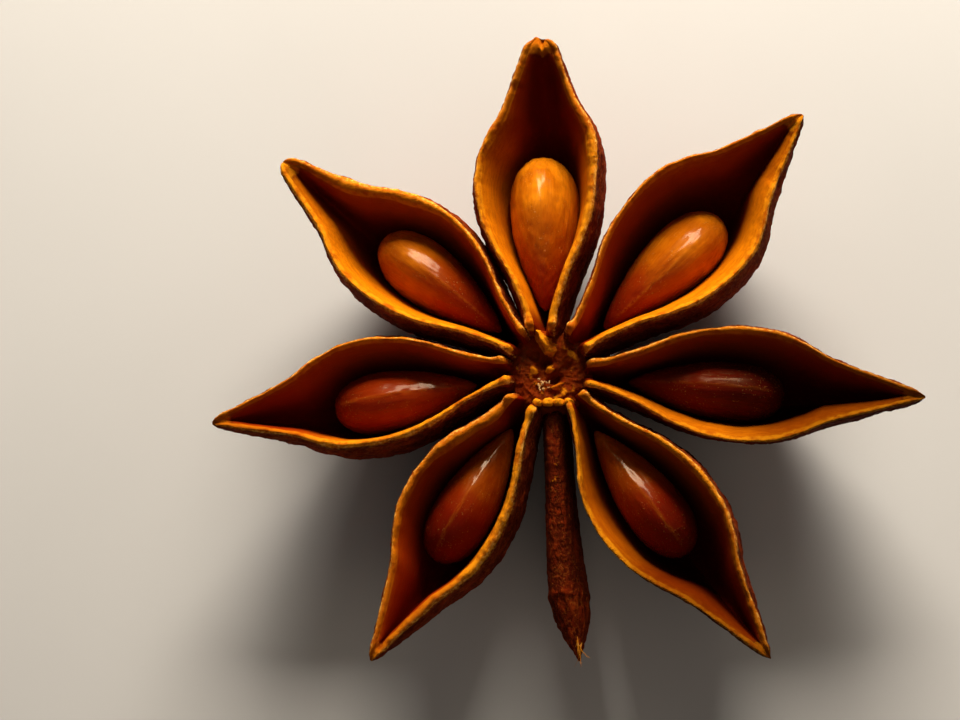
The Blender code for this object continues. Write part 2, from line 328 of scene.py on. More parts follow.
class Tree:
    """A node tree under construction, with short ways to add the nodes used here."""

    def __init__(self, tree: bpy.types.NodeTree) -> None:
        """Wrap a node tree."""
        self.tree = tree

    def add(self, kind: str, **settings: object) -> bpy.types.Node:
        """Add a node and set its plain properties.

        Args:
            kind: the node's type.
            settings: its properties by name.

        Returns:
            The node.
        """
        node = self.tree.nodes.new(kind)
        for key, value in settings.items():
            setattr(node, key, value)
        return node

    def feed(self, socket: bpy.types.NodeSocket, value: object) -> None:
        """Link a socket's value in, or set it where it is a plain number or colour.

        Args:
            socket: the input to feed.
            value: an output socket, a number, a vector or a colour.
        """
        if isinstance(value, bpy.types.NodeSocket):
            self.tree.links.new(value, socket)
        elif isinstance(value, tuple) and len(value) == 3 and socket.type == "RGBA":
            socket.default_value = (*value, 1.0)
        else:
            socket.default_value = value

    def attribute(self, name: str, vector: bool = False) -> bpy.types.NodeSocket:
        """A vertex attribute, as a number or as a vector."""
        node = self.add("ShaderNodeAttribute", attribute_name=name)
        return node.outputs["Vector" if vector else "Fac"]

    def maths(self, operation: str, a: object, b: object = 0.0) -> bpy.types.NodeSocket:
        """One Math node.

        Args:
            operation: the node's operation.
            a: its first value.
            b: its second value.

        Returns:
            The result.
        """
        node = self.add("ShaderNodeMath", operation=operation)
        self.feed(node.inputs[0], a)
        self.feed(node.inputs[1], b)
        return node.outputs[0]

    def stretch(self, vector: object, scale: Colour) -> bpy.types.NodeSocket:
        """The vector with each axis scaled.

        Args:
            vector: the vector to scale.
            scale: the factor for each axis.

        Returns:
            The scaled vector.
        """
        node = self.add("ShaderNodeVectorMath", operation="MULTIPLY")
        self.feed(node.inputs[0], vector)
        node.inputs[1].default_value = scale
        return node.outputs[0]

    def noise(self, vector: object, scale: object, detail: float = 3.0,
              roughness: float = 0.5) -> bpy.types.NodeSocket:
        """A noise texture's value.

        Args:
            vector: where to read it.
            scale: bumps to the unit of `vector`.
            detail: how many finer layers are added.
            roughness: how strong the finer layers are.

        Returns:
            The value, about 0.5 on average.
        """
        node = self.add("ShaderNodeTexNoise")
        self.feed(node.inputs["Vector"], vector)
        self.feed(node.inputs["Scale"], scale)
        node.inputs["Detail"].default_value = detail
        node.inputs["Roughness"].default_value = roughness
        return node.outputs["Fac"]

    def remap(self, value: object, low: object, high: object, to_low: float = 0.0,
              to_high: float = 1.0) -> bpy.types.NodeSocket:
        """Carry low..high to to_low..to_high along a smooth step, held at its ends.

        Args:
            value: the value to carry over.
            low: where the step starts.
            high: where it ends.
            to_low: the result at `low`.
            to_high: the result at `high`.

        Returns:
            The result.
        """
        node = self.add("ShaderNodeMapRange", interpolation_type="SMOOTHSTEP")
        for key, item in (("Value", value), ("From Min", low), ("From Max", high),
                          ("To Min", to_low), ("To Max", to_high)):
            self.feed(node.inputs[key], item)
        return node.outputs["Result"]

    def mix(self, factor: object, a: object, b: object,
            blend: str = "MIX") -> bpy.types.NodeSocket:
        """Mix two colours.

        Args:
            factor: 0 for the first colour, 1 for the second.
            a: the first colour.
            b: the second colour.
            blend: the node's blend type.

        Returns:
            The mixed colour.
        """
        node = self.add("ShaderNodeMix", data_type="RGBA", blend_type=blend)
        self.feed(node.inputs[0], factor)
        self.feed(node.inputs[6], a)
        self.feed(node.inputs[7], b)
        return node.outputs[2]

    def blend(self, factor: object, a: object, b: object) -> bpy.types.NodeSocket:
        """Mix two numbers.

        Args:
            factor: 0 for the first number, 1 for the second.
            a: the first number.
            b: the second number.

        Returns:
            The mixed number.
        """
        node = self.add("ShaderNodeMix", data_type="FLOAT")
        self.feed(node.inputs[0], factor)
        self.feed(node.inputs[2], a)
        self.feed(node.inputs[3], b)
        return node.outputs[0]

    def bump(self, height: object, distance: float) -> bpy.types.NodeSocket:
        """Turn a height into a normal.

        Args:
            height: the height, about 0 to 1.
            distance: how far, in metres, a height of 1 stands out.

        Returns:
            The normal.
        """
        node = self.add("ShaderNodeBump")
        node.inputs["Distance"].default_value = distance
        self.feed(node.inputs["Height"], height)
        return node.outputs[0]

    def ramp(self, value: object, stops: tuple[tuple[float, Colour], ...]) -> bpy.types.NodeSocket:
        """A colour ramp.

        Args:
            value: where on the ramp to read.
            stops: (position, colour) pairs; the ramp's two ends come first.

        Returns:
            The ramp's colour.
        """
        node = self.add("ShaderNodeValToRGB")
        self.feed(node.inputs[0], value)
        line = node.color_ramp.elements
        for number, (position, colour) in enumerate(stops):
            stop = line[number] if number < 2 else line.new(position)
            stop.position = position
            stop.color = (*colour, 1.0)
        return node.outputs[0]

    def group(self, group: bpy.types.NodeTree, **values: object) -> bpy.types.NodeSocket:
        """Place a shared group and feed its inputs.

        Args:
            group: the shared group.
            values: its inputs by name.

        Returns:
            Its one output.
        """
        node = self.add("ShaderNodeGroup", node_tree=group)
        for key, value in values.items():
            self.feed(node.inputs[key], value)
        return node.outputs[0]


def new_group(name: str, inputs: dict[str, str], output: str) -> tuple[Tree, dict, object]:
    """An empty shared group.

    Args:
        name: the group's name.
        inputs: socket names and their socket types.
        output: the name of its one float output.

    Returns:
        The tree, the input sockets by name, and the output socket to feed.
    """
    group = bpy.data.node_groups.new(name, "ShaderNodeTree")
    for key, kind in inputs.items():
        group.interface.new_socket(key, in_out="INPUT", socket_type=kind)
    group.interface.new_socket(output, in_out="OUTPUT", socket_type="NodeSocketFloat")
    tree = Tree(group)
    entry = tree.add("NodeGroupInput")
    leave = tree.add("NodeGroupOutput")
    return tree, {key: entry.outputs[key] for key in inputs}, leave.inputs[0]


@dataclass(frozen=True)
class Effects:
    """The shader groups that several finishes share."""

    speckle: bpy.types.NodeTree
    streaks: bpy.types.NodeTree
    grain: bpy.types.NodeTree
    folds: bpy.types.NodeTree

    @staticmethod
    def build() -> "Effects":
        """Make each group once."""
        return Effects(Effects._speckle(), Effects._streaks(), Effects._grain(),
                       Effects._folds())

    @staticmethod
    def _speckle() -> bpy.types.NodeTree:
        """Scattered specks: fine noise above a threshold, thinned by a broad noise.

        Returns:
            The group, which gives 1 on a speck, 0 between specks.
        """
        tree, given, out = new_group(
            "speckle", {"Place": "NodeSocketVector", "Scale": "NodeSocketFloat",
                        "Amount": "NodeSocketFloat"}, "Mask")
        fine = tree.noise(given["Place"], given["Scale"], 2.0)
        broad = tree.noise(given["Place"], tree.maths("MULTIPLY", given["Scale"], 0.13), 1.0)
        lifted = tree.maths("ADD", fine, tree.maths("MULTIPLY", broad, 0.25))
        bar = tree.maths("SUBTRACT", 0.86, tree.maths("MULTIPLY", given["Amount"], 0.25))
        tree.feed(out, tree.remap(lifted, bar, tree.maths("ADD", bar, 0.07)))
        return tree.tree

    @staticmethod
    def _streaks() -> bpy.types.NodeTree:
        """Fibres along the piece: noise on a place drawn out seven times along X.

        Returns:
            The group, which gives the fibres' height, about 0.5 on average.
        """
        tree, given, out = new_group(
            "streaks", {"Place": "NodeSocketVector", "Scale": "NodeSocketFloat"}, "Height")
        drawn = tree.stretch(given["Place"], (0.14, 1.0, 1.0))
        tree.feed(out, tree.noise(drawn, given["Scale"], 4.0, 0.6))
        return tree.tree

    @staticmethod
    def _grain() -> bpy.types.NodeTree:
        """Rough pitted grain: fine noise with pits where a second noise is low; the finishes
        darken the pits as painted shade.

        Returns:
            The group, which gives the grain's height, 0 in a pit.
        """
        tree, given, out = new_group(
            "grain", {"Place": "NodeSocketVector", "Scale": "NodeSocketFloat"}, "Height")
        fine = tree.noise(given["Place"], given["Scale"], 5.0, 0.65)
        pits = tree.remap(tree.noise(given["Place"], tree.maths("MULTIPLY", given["Scale"], 0.6),
                                     2.0), 0.30, 0.46)
        tree.feed(out, tree.maths("MULTIPLY", fine, pits))
        return tree.tree

    @staticmethod
    def _folds() -> bpy.types.NodeTree:
        """Winding creases of dried skin: 0 where a noise crosses its middle, 1 away from it.

        Returns:
            The group, which gives the skin's height, 0 in a crease.
        """
        tree, given, out = new_group(
            "folds", {"Place": "NodeSocketVector", "Scale": "NodeSocketFloat"}, "Height")
        drawn = tree.stretch(given["Place"], (0.50, 1.0, 1.5))
        off = tree.maths("SUBTRACT", tree.noise(drawn, given["Scale"], 4.0, 0.6), 0.5)
        tree.feed(out, tree.remap(tree.maths("ABSOLUTE", off), 0.0, 0.07))
        return tree.tree


def principled(name: str) -> tuple[bpy.types.Material, Tree, bpy.types.Node]:
    """A new material with its Principled shader.

    Args:
        name: the material's name.

    Returns:
        The material, its tree and its shader node.
    """
    made = bpy.data.materials.new(name)
    made.use_nodes = True
    return made, Tree(made.node_tree), made.node_tree.nodes["Principled BSDF"]


@dataclass(frozen=True)
class WoodFinish:
    """Finish of the husk: dark wrinkled skin, satin inner wall, pale torn edges."""

    name: str = "husk_wood_finish"
    skin_dark: Colour = (0.075, 0.008, 0.002)
    skin_mid: Colour = (0.205, 0.019, 0.003)
    skin_ridge: Colour = (0.310, 0.040, 0.004)
    speck: Colour = (0.420, 0.105, 0.014)
    wall_high: Colour = (0.640, 0.180, 0.002)
    # Dark red of the hollow's floor: partly the wall's own colour, partly painted shade; also the
    # dark of the wall's fibres.
    wall_low: Colour = (0.150, 0.006, 0.001)
    edge_pale: Colour = (0.680, 0.225, 0.005)
    edge_deep: Colour = (0.360, 0.062, 0.002)
    # Pale torn strands along the edge, partly painted highlight.
    thread_and_highlight: Colour = (0.860, 0.430, 0.080)
    # Dark red of the painted shade on walls that face away from the light; also the wall's own dark
    # flecks.
    wall_shade_and_flecks: Colour = (0.250, 0.013, 0.001)
    pith: Colour = (0.640, 0.400, 0.170)
    sheen_tint: Colour = (1.000, 0.620, 0.300)
    gloss: float = 0.03
    dry: tuple[float, float] = (0.95, 0.80)
    satin: tuple[float, float] = (0.36, 0.48)
    tones: tuple[float, float] = (-3.4, 1.0)
    shades: tuple[float, float] = (0.34, 1.16)
    grain_scale: float = 5.0
    streak_scale: float = 6.0
    fold_scale: float = 1.3
    fine_scale: float = 15.0
    mottle_scale: float = 0.8
    speck_scale: float = 8.0
    sink_scale: float = 0.5
    fleck_scale: float = 11.0
    patch_scale: float = 1.6
    dust_scale: float = 13.0
    ragged_scale: float = 3.5
    thread_and_highlight_scale: float = 6.0
    speck_amount: float = 0.7
    fine_share: float = 0.6
    fold_share: float = 1.2
    wall_relief: float = 0.40
    speck_share: float = 0.28
    fleck_share: float = 0.45
    dust_share: float = 0.40
    bump: float = 0.000030

    def build(self, effects: Effects) -> bpy.types.Material:
        """Mix skin, wall and torn edge by the piece's own masks.

        Args:
            effects: the shared groups.

        Returns:
            The material.
        """
        made, tree, shader = principled(self.name)
        place = tree.attribute("local", vector=True)
        inside = tree.attribute("inside")
        edge = tree.attribute("edge")
        rise = tree.attribute("rise")
        # Painted shade: walls that face away from the light are mixed to dark red, and their edges
        # darkened.
        painted_shade = tree.attribute("painted_shade")
        grain = tree.group(effects.grain, Place=place, Scale=self.grain_scale)
        streaks = tree.group(effects.streaks, Place=place, Scale=self.streak_scale)
        fold = tree.group(effects.folds, Place=place, Scale=self.fold_scale)
        skin = self._skin(tree, effects, place, rise, grain, fold)
        wall = self._wall(tree, place, tree.attribute("depth"), streaks, painted_shade)
        torn = self._torn(tree, place, rise, grain, painted_shade)
        uneven = tree.maths("MULTIPLY", tree.noise(place, self.ragged_scale), 0.5)
        on_edge = tree.remap(tree.maths("ADD", edge, uneven), 0.58, 0.86)
        colour = tree.mix(on_edge, tree.mix(inside, skin, wall), torn)
        # Pale strands along the edge's crest: partly the torn skin's pale edge, partly painted
        # highlight.
        broken = tree.remap(tree.noise(place, self.thread_and_highlight_scale, 4.0, 0.7), 0.46, 0.60)
        threads_and_highlight = tree.maths("MULTIPLY", tree.attribute("lip"), broken)
        colour = tree.mix(threads_and_highlight, colour, self.thread_and_highlight)
        colour = tree.mix(tree.attribute("pith"), colour, self.pith)
        # Brightness of each piece: partly its own tone, partly painted light and shade.
        shade = tree.remap(tree.attribute("tone"), *self.tones, *self.shades)
        grey = tree.add("ShaderNodeCombineColor")
        for socket in grey.inputs[:3]:
            tree.feed(socket, shade)
        tree.feed(shader.inputs["Base Color"], tree.mix(1.0, colour, grey.outputs[0], "MULTIPLY"))
        shader.inputs["Specular IOR Level"].default_value = self.gloss
        shader.inputs["Specular Tint"].default_value = (*self.sheen_tint, 1.0)
        rough = tree.blend(inside, tree.remap(grain, 0.1, 0.6, *self.dry),
                           tree.remap(streaks, 0.3, 0.7, *self.satin))
        tree.feed(shader.inputs["Roughness"], rough)
        fine = tree.noise(place, self.fine_scale, 3.0, 0.6)
        outer = tree.maths("ADD", grain, tree.maths("MULTIPLY", fine, self.fine_share))
        folded = tree.maths("MULTIPLY", fold, tree.remap(edge, 0.2, 0.7, self.fold_share, 0.0))
        inner = tree.maths("MULTIPLY", tree.maths("ADD", streaks, fine), self.wall_relief)
        height = tree.blend(inside, tree.maths("ADD", outer, folded), inner)
        tree.feed(shader.inputs["Normal"], tree.bump(height, self.bump))
        return made

    def _skin(self, tree: Tree, effects: Effects, place: object, rise: object,
              grain: object, fold: object) -> bpy.types.NodeSocket:
        """Brown wrinkled outside with specks, with painted shade in its creases and pits and
        painted light on its ridges.

        Args:
            tree: the material's tree.
            effects: the shared groups.
            place: the unturned coordinates.
            rise: the mesh relief's height.
            grain: the fine grain's height.
            fold: the creases' height.

        Returns:
            The skin's colour.
        """
        mottle = tree.remap(tree.noise(place, self.mottle_scale, 4.0), 0.34, 0.66, 0.35, 1.0)
        # Painted shade in the creases.
        swept = tree.maths("MULTIPLY", mottle, tree.remap(fold, 0.0, 1.0, 0.15, 1.0))
        skin = tree.mix(swept, self.skin_dark, self.skin_mid)
        # Painted light on the relief's ridges.
        skin = tree.mix(tree.remap(rise, 0.15, 1.0, 0.0, 0.55), skin, self.skin_ridge)
        # Painted shade in the grain's pits.
        skin = tree.mix(tree.remap(grain, 0.05, 0.35, 0.7, 0.0), skin, self.skin_dark)
        specks = tree.group(effects.speckle, Place=place, Scale=self.speck_scale,
                            Amount=self.speck_amount)
        return tree.mix(tree.maths("MULTIPLY", specks, self.speck_share), skin, self.speck)

    def _wall(self, tree: Tree, place: object, depth: object, streaks: object,
              painted_shade: object) -> bpy.types.NodeSocket:
        """Golden below the edge and red brown towards the floor, with fibres and flecks.

        The red brown towards the floor is partly the wall's own colour and partly painted shade,
        and walls that face away from the light are mixed to dark red as painted shade.

        Args:
            tree: the material's tree.
            place: the unturned coordinates.
            depth: 0 at the edge, 1 on the hollow's floor.
            streaks: the fibres' height.
            painted_shade: painted shade on this side's wall, how far it is mixed to dark red.

        Returns:
            The wall's colour.
        """
        uneven = tree.maths("MULTIPLY", tree.noise(place, self.sink_scale), 0.3)
        sunk = tree.maths("ADD", depth, uneven)
        # Painted shade on walls that face away from the light, a little stronger deeper down.
        patchy = tree.maths("MULTIPLY", painted_shade, tree.remap(sunk, 0.02, 0.34, 0.72, 1.0))
        wall = tree.mix(patchy, self.wall_high, self.wall_shade_and_flecks)
        # Darker red towards the floor: partly the wall's own colour, partly painted shade in the
        # hollow.
        wall = tree.mix(tree.remap(sunk, 0.30, 1.05), wall, self.wall_low)
        wall = tree.mix(tree.remap(streaks, 0.36, 0.62, 0.30, 0.0), wall, self.wall_low)
        # The wall's own dark flecks, in the colour of the painted shade.
        spots = tree.noise(tree.stretch(place, (0.6, 1.0, 1.0)), self.fleck_scale, 3.0, 0.7)
        flecks = tree.remap(spots, 0.46, 0.32, 0.0, self.fleck_share)
        return tree.mix(flecks, wall, self.wall_shade_and_flecks)

    def _torn(self, tree: Tree, place: object, rise: object, grain: object,
              painted_shade: object) -> bpy.types.NodeSocket:
        """Ochre torn wood, with painted shade in its pits and hollows and above walls painted
        in shade.

        Args:
            tree: the material's tree.
            place: the unturned coordinates.
            rise: the mesh relief's height.
            grain: the fine grain's height.
            painted_shade: painted shade on the wall below, how far it is mixed to dark red.

        Returns:
            The torn edge's colour.
        """
        patches = tree.noise(place, self.patch_scale, 5.0, 0.62)
        torn = tree.mix(tree.remap(patches, 0.34, 0.56, 0.15, 1.0), self.edge_deep, self.edge_pale)
        # Painted shade in the grain's pits.
        torn = tree.mix(tree.remap(grain, 0.08, 0.34, 0.45, 0.0), torn, self.edge_deep)
        dusty = tree.noise(place, self.dust_scale, 3.0, 0.7)
        torn = tree.mix(tree.remap(dusty, 0.44, 0.30, 0.0, self.dust_share), torn, self.edge_deep)
        # Painted shade: edges above shaded walls are darker.
        torn = tree.mix(tree.remap(painted_shade, 0.55, 1.0, 0.0, 0.60), torn, self.edge_deep)
        # Painted shade in the relief's hollows.
        return tree.mix(tree.remap(rise, -0.2, -0.9, 0.0, 0.20), torn, self.skin_mid)


@dataclass(frozen=True)
class SeedFinish:
    """Finish of a seed: a hard caramel coat with a paler ridge and fine dust."""

    name: str = "seed_coat_finish"
    # Dark brown of a seed that lies in shade: painted shade.
    brown: Colour = (0.045, 0.003, 0.001)
    red: Colour = (0.190, 0.009, 0.001)
    rust: Colour = (0.300, 0.026, 0.001)
    amber: Colour = (0.420, 0.082, 0.001)
    caramel: Colour = (0.560, 0.135, 0.002)
    # Gold of a blunt end that faces the light: partly the seed's own colour, partly painted light.
    gold: Colour = (0.880, 0.260, 0.004)
    crest: Colour = (0.480, 0.130, 0.006)
    dust: Colour = (0.700, 0.340, 0.080)
    glow_tint: Colour = (1.000, 0.640, 0.300)
    gloss: float = 0.07
    rough: tuple[float, float] = (0.24, 0.38)
    coat: tuple[float, float] = (0.05, 0.34)
    coat_rough: float = 0.13
    streak_scale: float = 9.0
    speck_scale: float = 11.0
    speck_amount: float = 0.35
    dust_share: float = 0.3
    bump: float = 0.000018

    def build(self, effects: Effects) -> bpy.types.Material:
        """Gold at the blunt end of a ripened seed, redder towards the point, clear coated.

        The ramp is read partly by ripeness and partly by painted light and shade: gold where a
        seed's end faces the light, dark brown where a seed lies in shade.

        Args:
            effects: the shared groups.

        Returns:
            The material.
        """
        made, tree, shader = principled(self.name)
        place = tree.attribute("local", vector=True)
        streaks = tree.group(effects.streaks, Place=place, Scale=self.streak_scale)
        uneven = tree.remap(tree.noise(place, 0.6), 0.3, 0.7, 0.85, 1.10)
        ripe_and_light = tree.maths("MULTIPLY", tree.attribute("ripe_and_light"), uneven)
        # Painted light and shade: dark brown where the seed lies in shade, gold where it is lit.
        skin = tree.ramp(ripe_and_light, ((0.0, self.brown), (1.0, self.gold), (0.30, self.red),
                                (0.50, self.rust), (0.70, self.amber), (0.86, self.caramel)))
        skin = tree.mix(tree.remap(streaks, 0.38, 0.60, 0.16, 0.0), skin, self.red)
        worn = tree.maths("MULTIPLY", tree.attribute("crest"), tree.remap(streaks, 0.35, 0.55))
        skin = tree.mix(worn, skin, self.crest)
        specks = tree.group(effects.speckle, Place=place, Scale=self.speck_scale,
                            Amount=self.speck_amount)
        skin = tree.mix(tree.maths("MULTIPLY", specks, self.dust_share), skin, self.dust)
        tree.feed(shader.inputs["Base Color"], skin)
        tree.feed(shader.inputs["Roughness"], tree.remap(streaks, 0.3, 0.7, *self.rough))
        shader.inputs["Specular IOR Level"].default_value = self.gloss
        shader.inputs["Specular Tint"].default_value = (*self.glow_tint, 1.0)
        tree.feed(shader.inputs["Coat Weight"], tree.remap(ripe_and_light, 0.1, 0.8, *self.coat))
        shader.inputs["Coat Roughness"].default_value = self.coat_rough
        tree.feed(shader.inputs["Normal"], tree.bump(tree.maths("ADD", streaks, specks), self.bump))
        return made


# ---------------------------------------------------------------- the open carpels


class RimStyle(Enum):
    """How thick a carpel's torn edge is along its length: (station, millimetres) points."""

    THIN = ((0.0, 0.30), (0.20, 0.22), (0.55, 0.18), (0.85, 0.20), (1.0, 0.24))
    EVEN = ((0.0, 0.32), (0.20, 0.28), (0.55, 0.28), (0.85, 0.24), (1.0, 0.26))
    BROAD = ((0.0, 0.32), (0.20, 0.30), (0.45, 0.36), (0.66, 0.42), (0.80, 0.34), (1.0, 0.30))
    PATCHED = ((0.0, 0.32), (0.20, 0.26), (0.56, 0.20), (0.64, 0.28), (0.69, 0.44), (0.74, 0.40),
               (0.81, 0.26), (1.0, 0.34))
    WIDE_TIP = ((0.0, 0.30), (0.25, 0.20), (0.52, 0.26), (0.62, 0.52), (0.70, 0.50),
                (0.78, 0.68), (0.86, 0.56), (0.93, 0.34), (1.0, 0.30))
    WIDE_ROOT = ((0.0, 0.32), (0.15, 0.28), (0.22, 0.60), (0.33, 0.56), (0.42, 0.36),
                 (0.55, 0.30), (1.0, 0.26))


class Zone(Enum):
    """The parts of one side's section, with how deep the torn edge's mask reaches in each."""

    OUTER = 0.020
    RIM = 1e9
    INNER = 0.030


@dataclass(frozen=True)
class CarpelCurves:
    """Curves that all open carpels share, by station: 0 at the column's axis, 1 at the beak."""

    rim_height: float = 7.4
    mouth: Curve = ((0.0, 0.20), (0.11, 0.23), (0.22, 0.44), (0.34, 0.80), (0.42, 0.95),
                    (0.50, 1.0), (0.58, 0.965), (0.66, 0.81), (0.74, 0.56), (0.82, 0.38),
                    (0.92, 0.17), (1.0, 0.0))
    mouth_belly: float = 0.50
    rim_line: Curve = ((0.0, -0.1), (0.13, -0.05), (0.24, 0.1), (0.50, 0.0), (0.80, 0.15),
                       (1.0, 0.6))
    root_drop: float = 1.5
    root_end: float = 1.66
    root_round: float = 0.50
    crown: float = 0.34
    keel_line: Curve = ((0.0, 2.4), (0.14, 1.1), (0.30, 0.0), (0.52, 0.0), (0.66, 0.9),
                        (0.80, 2.8), (0.92, 5.2), (1.0, 7.0))
    floor_line: Curve = ((0.0, 4.0), (0.16, 2.2), (0.28, 1.05), (0.52, 0.95), (0.66, 1.9),
                         (0.80, 4.2), (0.90, 6.2), (1.0, 7.7))
    bulge_line: Curve = ((0.0, 0.0), (0.15, 0.36), (0.35, 0.40), (0.55, 0.36), (0.75, 0.26),
                         (1.0, 0.02))
    bulge_depth: float = 0.72
    fullness: tuple[float, float] = (2.6, 0.66)
    lean_line: Curve = ((0.0, 0.10), (0.20, 0.52), (0.45, 0.98), (0.60, 1.10), (0.72, 1.20),
                        (0.86, 0.70), (1.0, 0.10))
    lean_depth: float = 0.22
    fray_depth: float = 0.05
    keel_half: float = 0.22
    slit_half: float = 0.10
    grown_by: float = 0.3
    inner_step: float = 0.07
    mouth_least: float = 0.03
    beak_from: float = 0.6
    beak_power: float = 1.5
    shift_end: float = 0.4
    shift_power: float = 1.5
    pinch_end: float = 0.36
    pinch_power: float = 1.2
    pinch_drop: float = 0.9
    root_narrow: float = 0.10
    root_thin: float = 0.3
    keel_most: float = 0.6
    lean_most: float = 0.8
    slit_narrow: float = 0.7
    crown_power: float = 0.8
    edge_crowding: float = 1.4
    wall_sink: float = 0.10
    root_sink: float = 0.95
    sink_from: tuple[float, float] = (3.4, 2.4)
    floor_lift: float = 0.5


@dataclass(frozen=True)
class CarpelRelief:
    """How uneven a carpel is. Each pair is the size of a bump and its height, in millimetres."""

    slow: tuple[float, float] = (3.1, 0.05)
    wander: tuple[float, float] = (1.1, 0.03)
    fray: tuple[float, float] = (0.31, 0.012)
    nick: tuple[float, float] = (0.9, 0.07)
    nick_from: tuple[float, float] = (0.34, 0.60)
    rim_slow: float = 0.30
    rim_wander: float = 0.22
    rim_fray: float = 0.02
    rim_least: float = 0.13
    rim_most: float = 0.75
    knob_at: float = 2.12
    knob_half: float = 0.26
    knob_out: float = 0.06
    knob_thick: float = 0.09
    knob_up: float = 0.18
    wrinkle: tuple[float, float] = (1.5, 0.065)
    pucker: float = 0.62
    grain: tuple[float, float] = (0.36, 0.030)
    edge_grain: float = 0.026
    wave: tuple[float, float] = (1.8, 0.010)


@dataclass(frozen=True)
class Side:
    """One side of an open carpel.

    `width` is the mouth's half width at its widest, which is at station `belly`. `lean` is how
    far the inner wall slopes in and `knob` how strong the knob at the edge's inner end is.
    `painted_shade` and `tip_painted_shade` are painted shade: how far the wall is mixed to dark
    red along it and near the beak. `tip_shade` is painted shade too: how much darker it is
    there. `pinch` draws the root in, and `tuck` the outside below its edge.
    """

    width: float
    belly: float
    rim: RimStyle
    lean: float
    knob: float
    painted_shade: float = 0.0
    tip_painted_shade: float = 0.95
    tip_shade: float = 0.0
    pinch: float = 0.0
    tuck: float = 0.0


@dataclass(frozen=True)
class Spine:
    """A carpel's lines along its length: columns of one value for each station.

    `s` is the station and `x` its distance from the column's axis. `grown` fades the edge's
    unevenness in, and `dome` and `round_off` close the root and the beak. `opened` is 1 where
    the carpel is hollow and `sunk` is how far the edge's inner side drops where it is not.
    """

    s: np.ndarray
    x: np.ndarray
    grown: np.ndarray
    dome: np.ndarray
    round_off: np.ndarray
    top: np.ndarray
    keel: np.ndarray
    swell: np.ndarray
    middle: np.ndarray
    opened: np.ndarray
    sunk: np.ndarray
    floor: np.ndarray


@dataclass(frozen=True)
class EdgeLines:
    """One side's torn edge along its length: columns of one value for each station.

    `calm` is the half width at the edge's outer corner without frays, `wide` with frays and
    knob. `calm_mouth` and `mouth` are the half widths at its inner corner. `rim` is its width
    and `high` its height.
    """

    calm: np.ndarray
    wide: np.ndarray
    calm_mouth: np.ndarray
    mouth: np.ndarray
    rim: np.ndarray
    high: np.ndarray


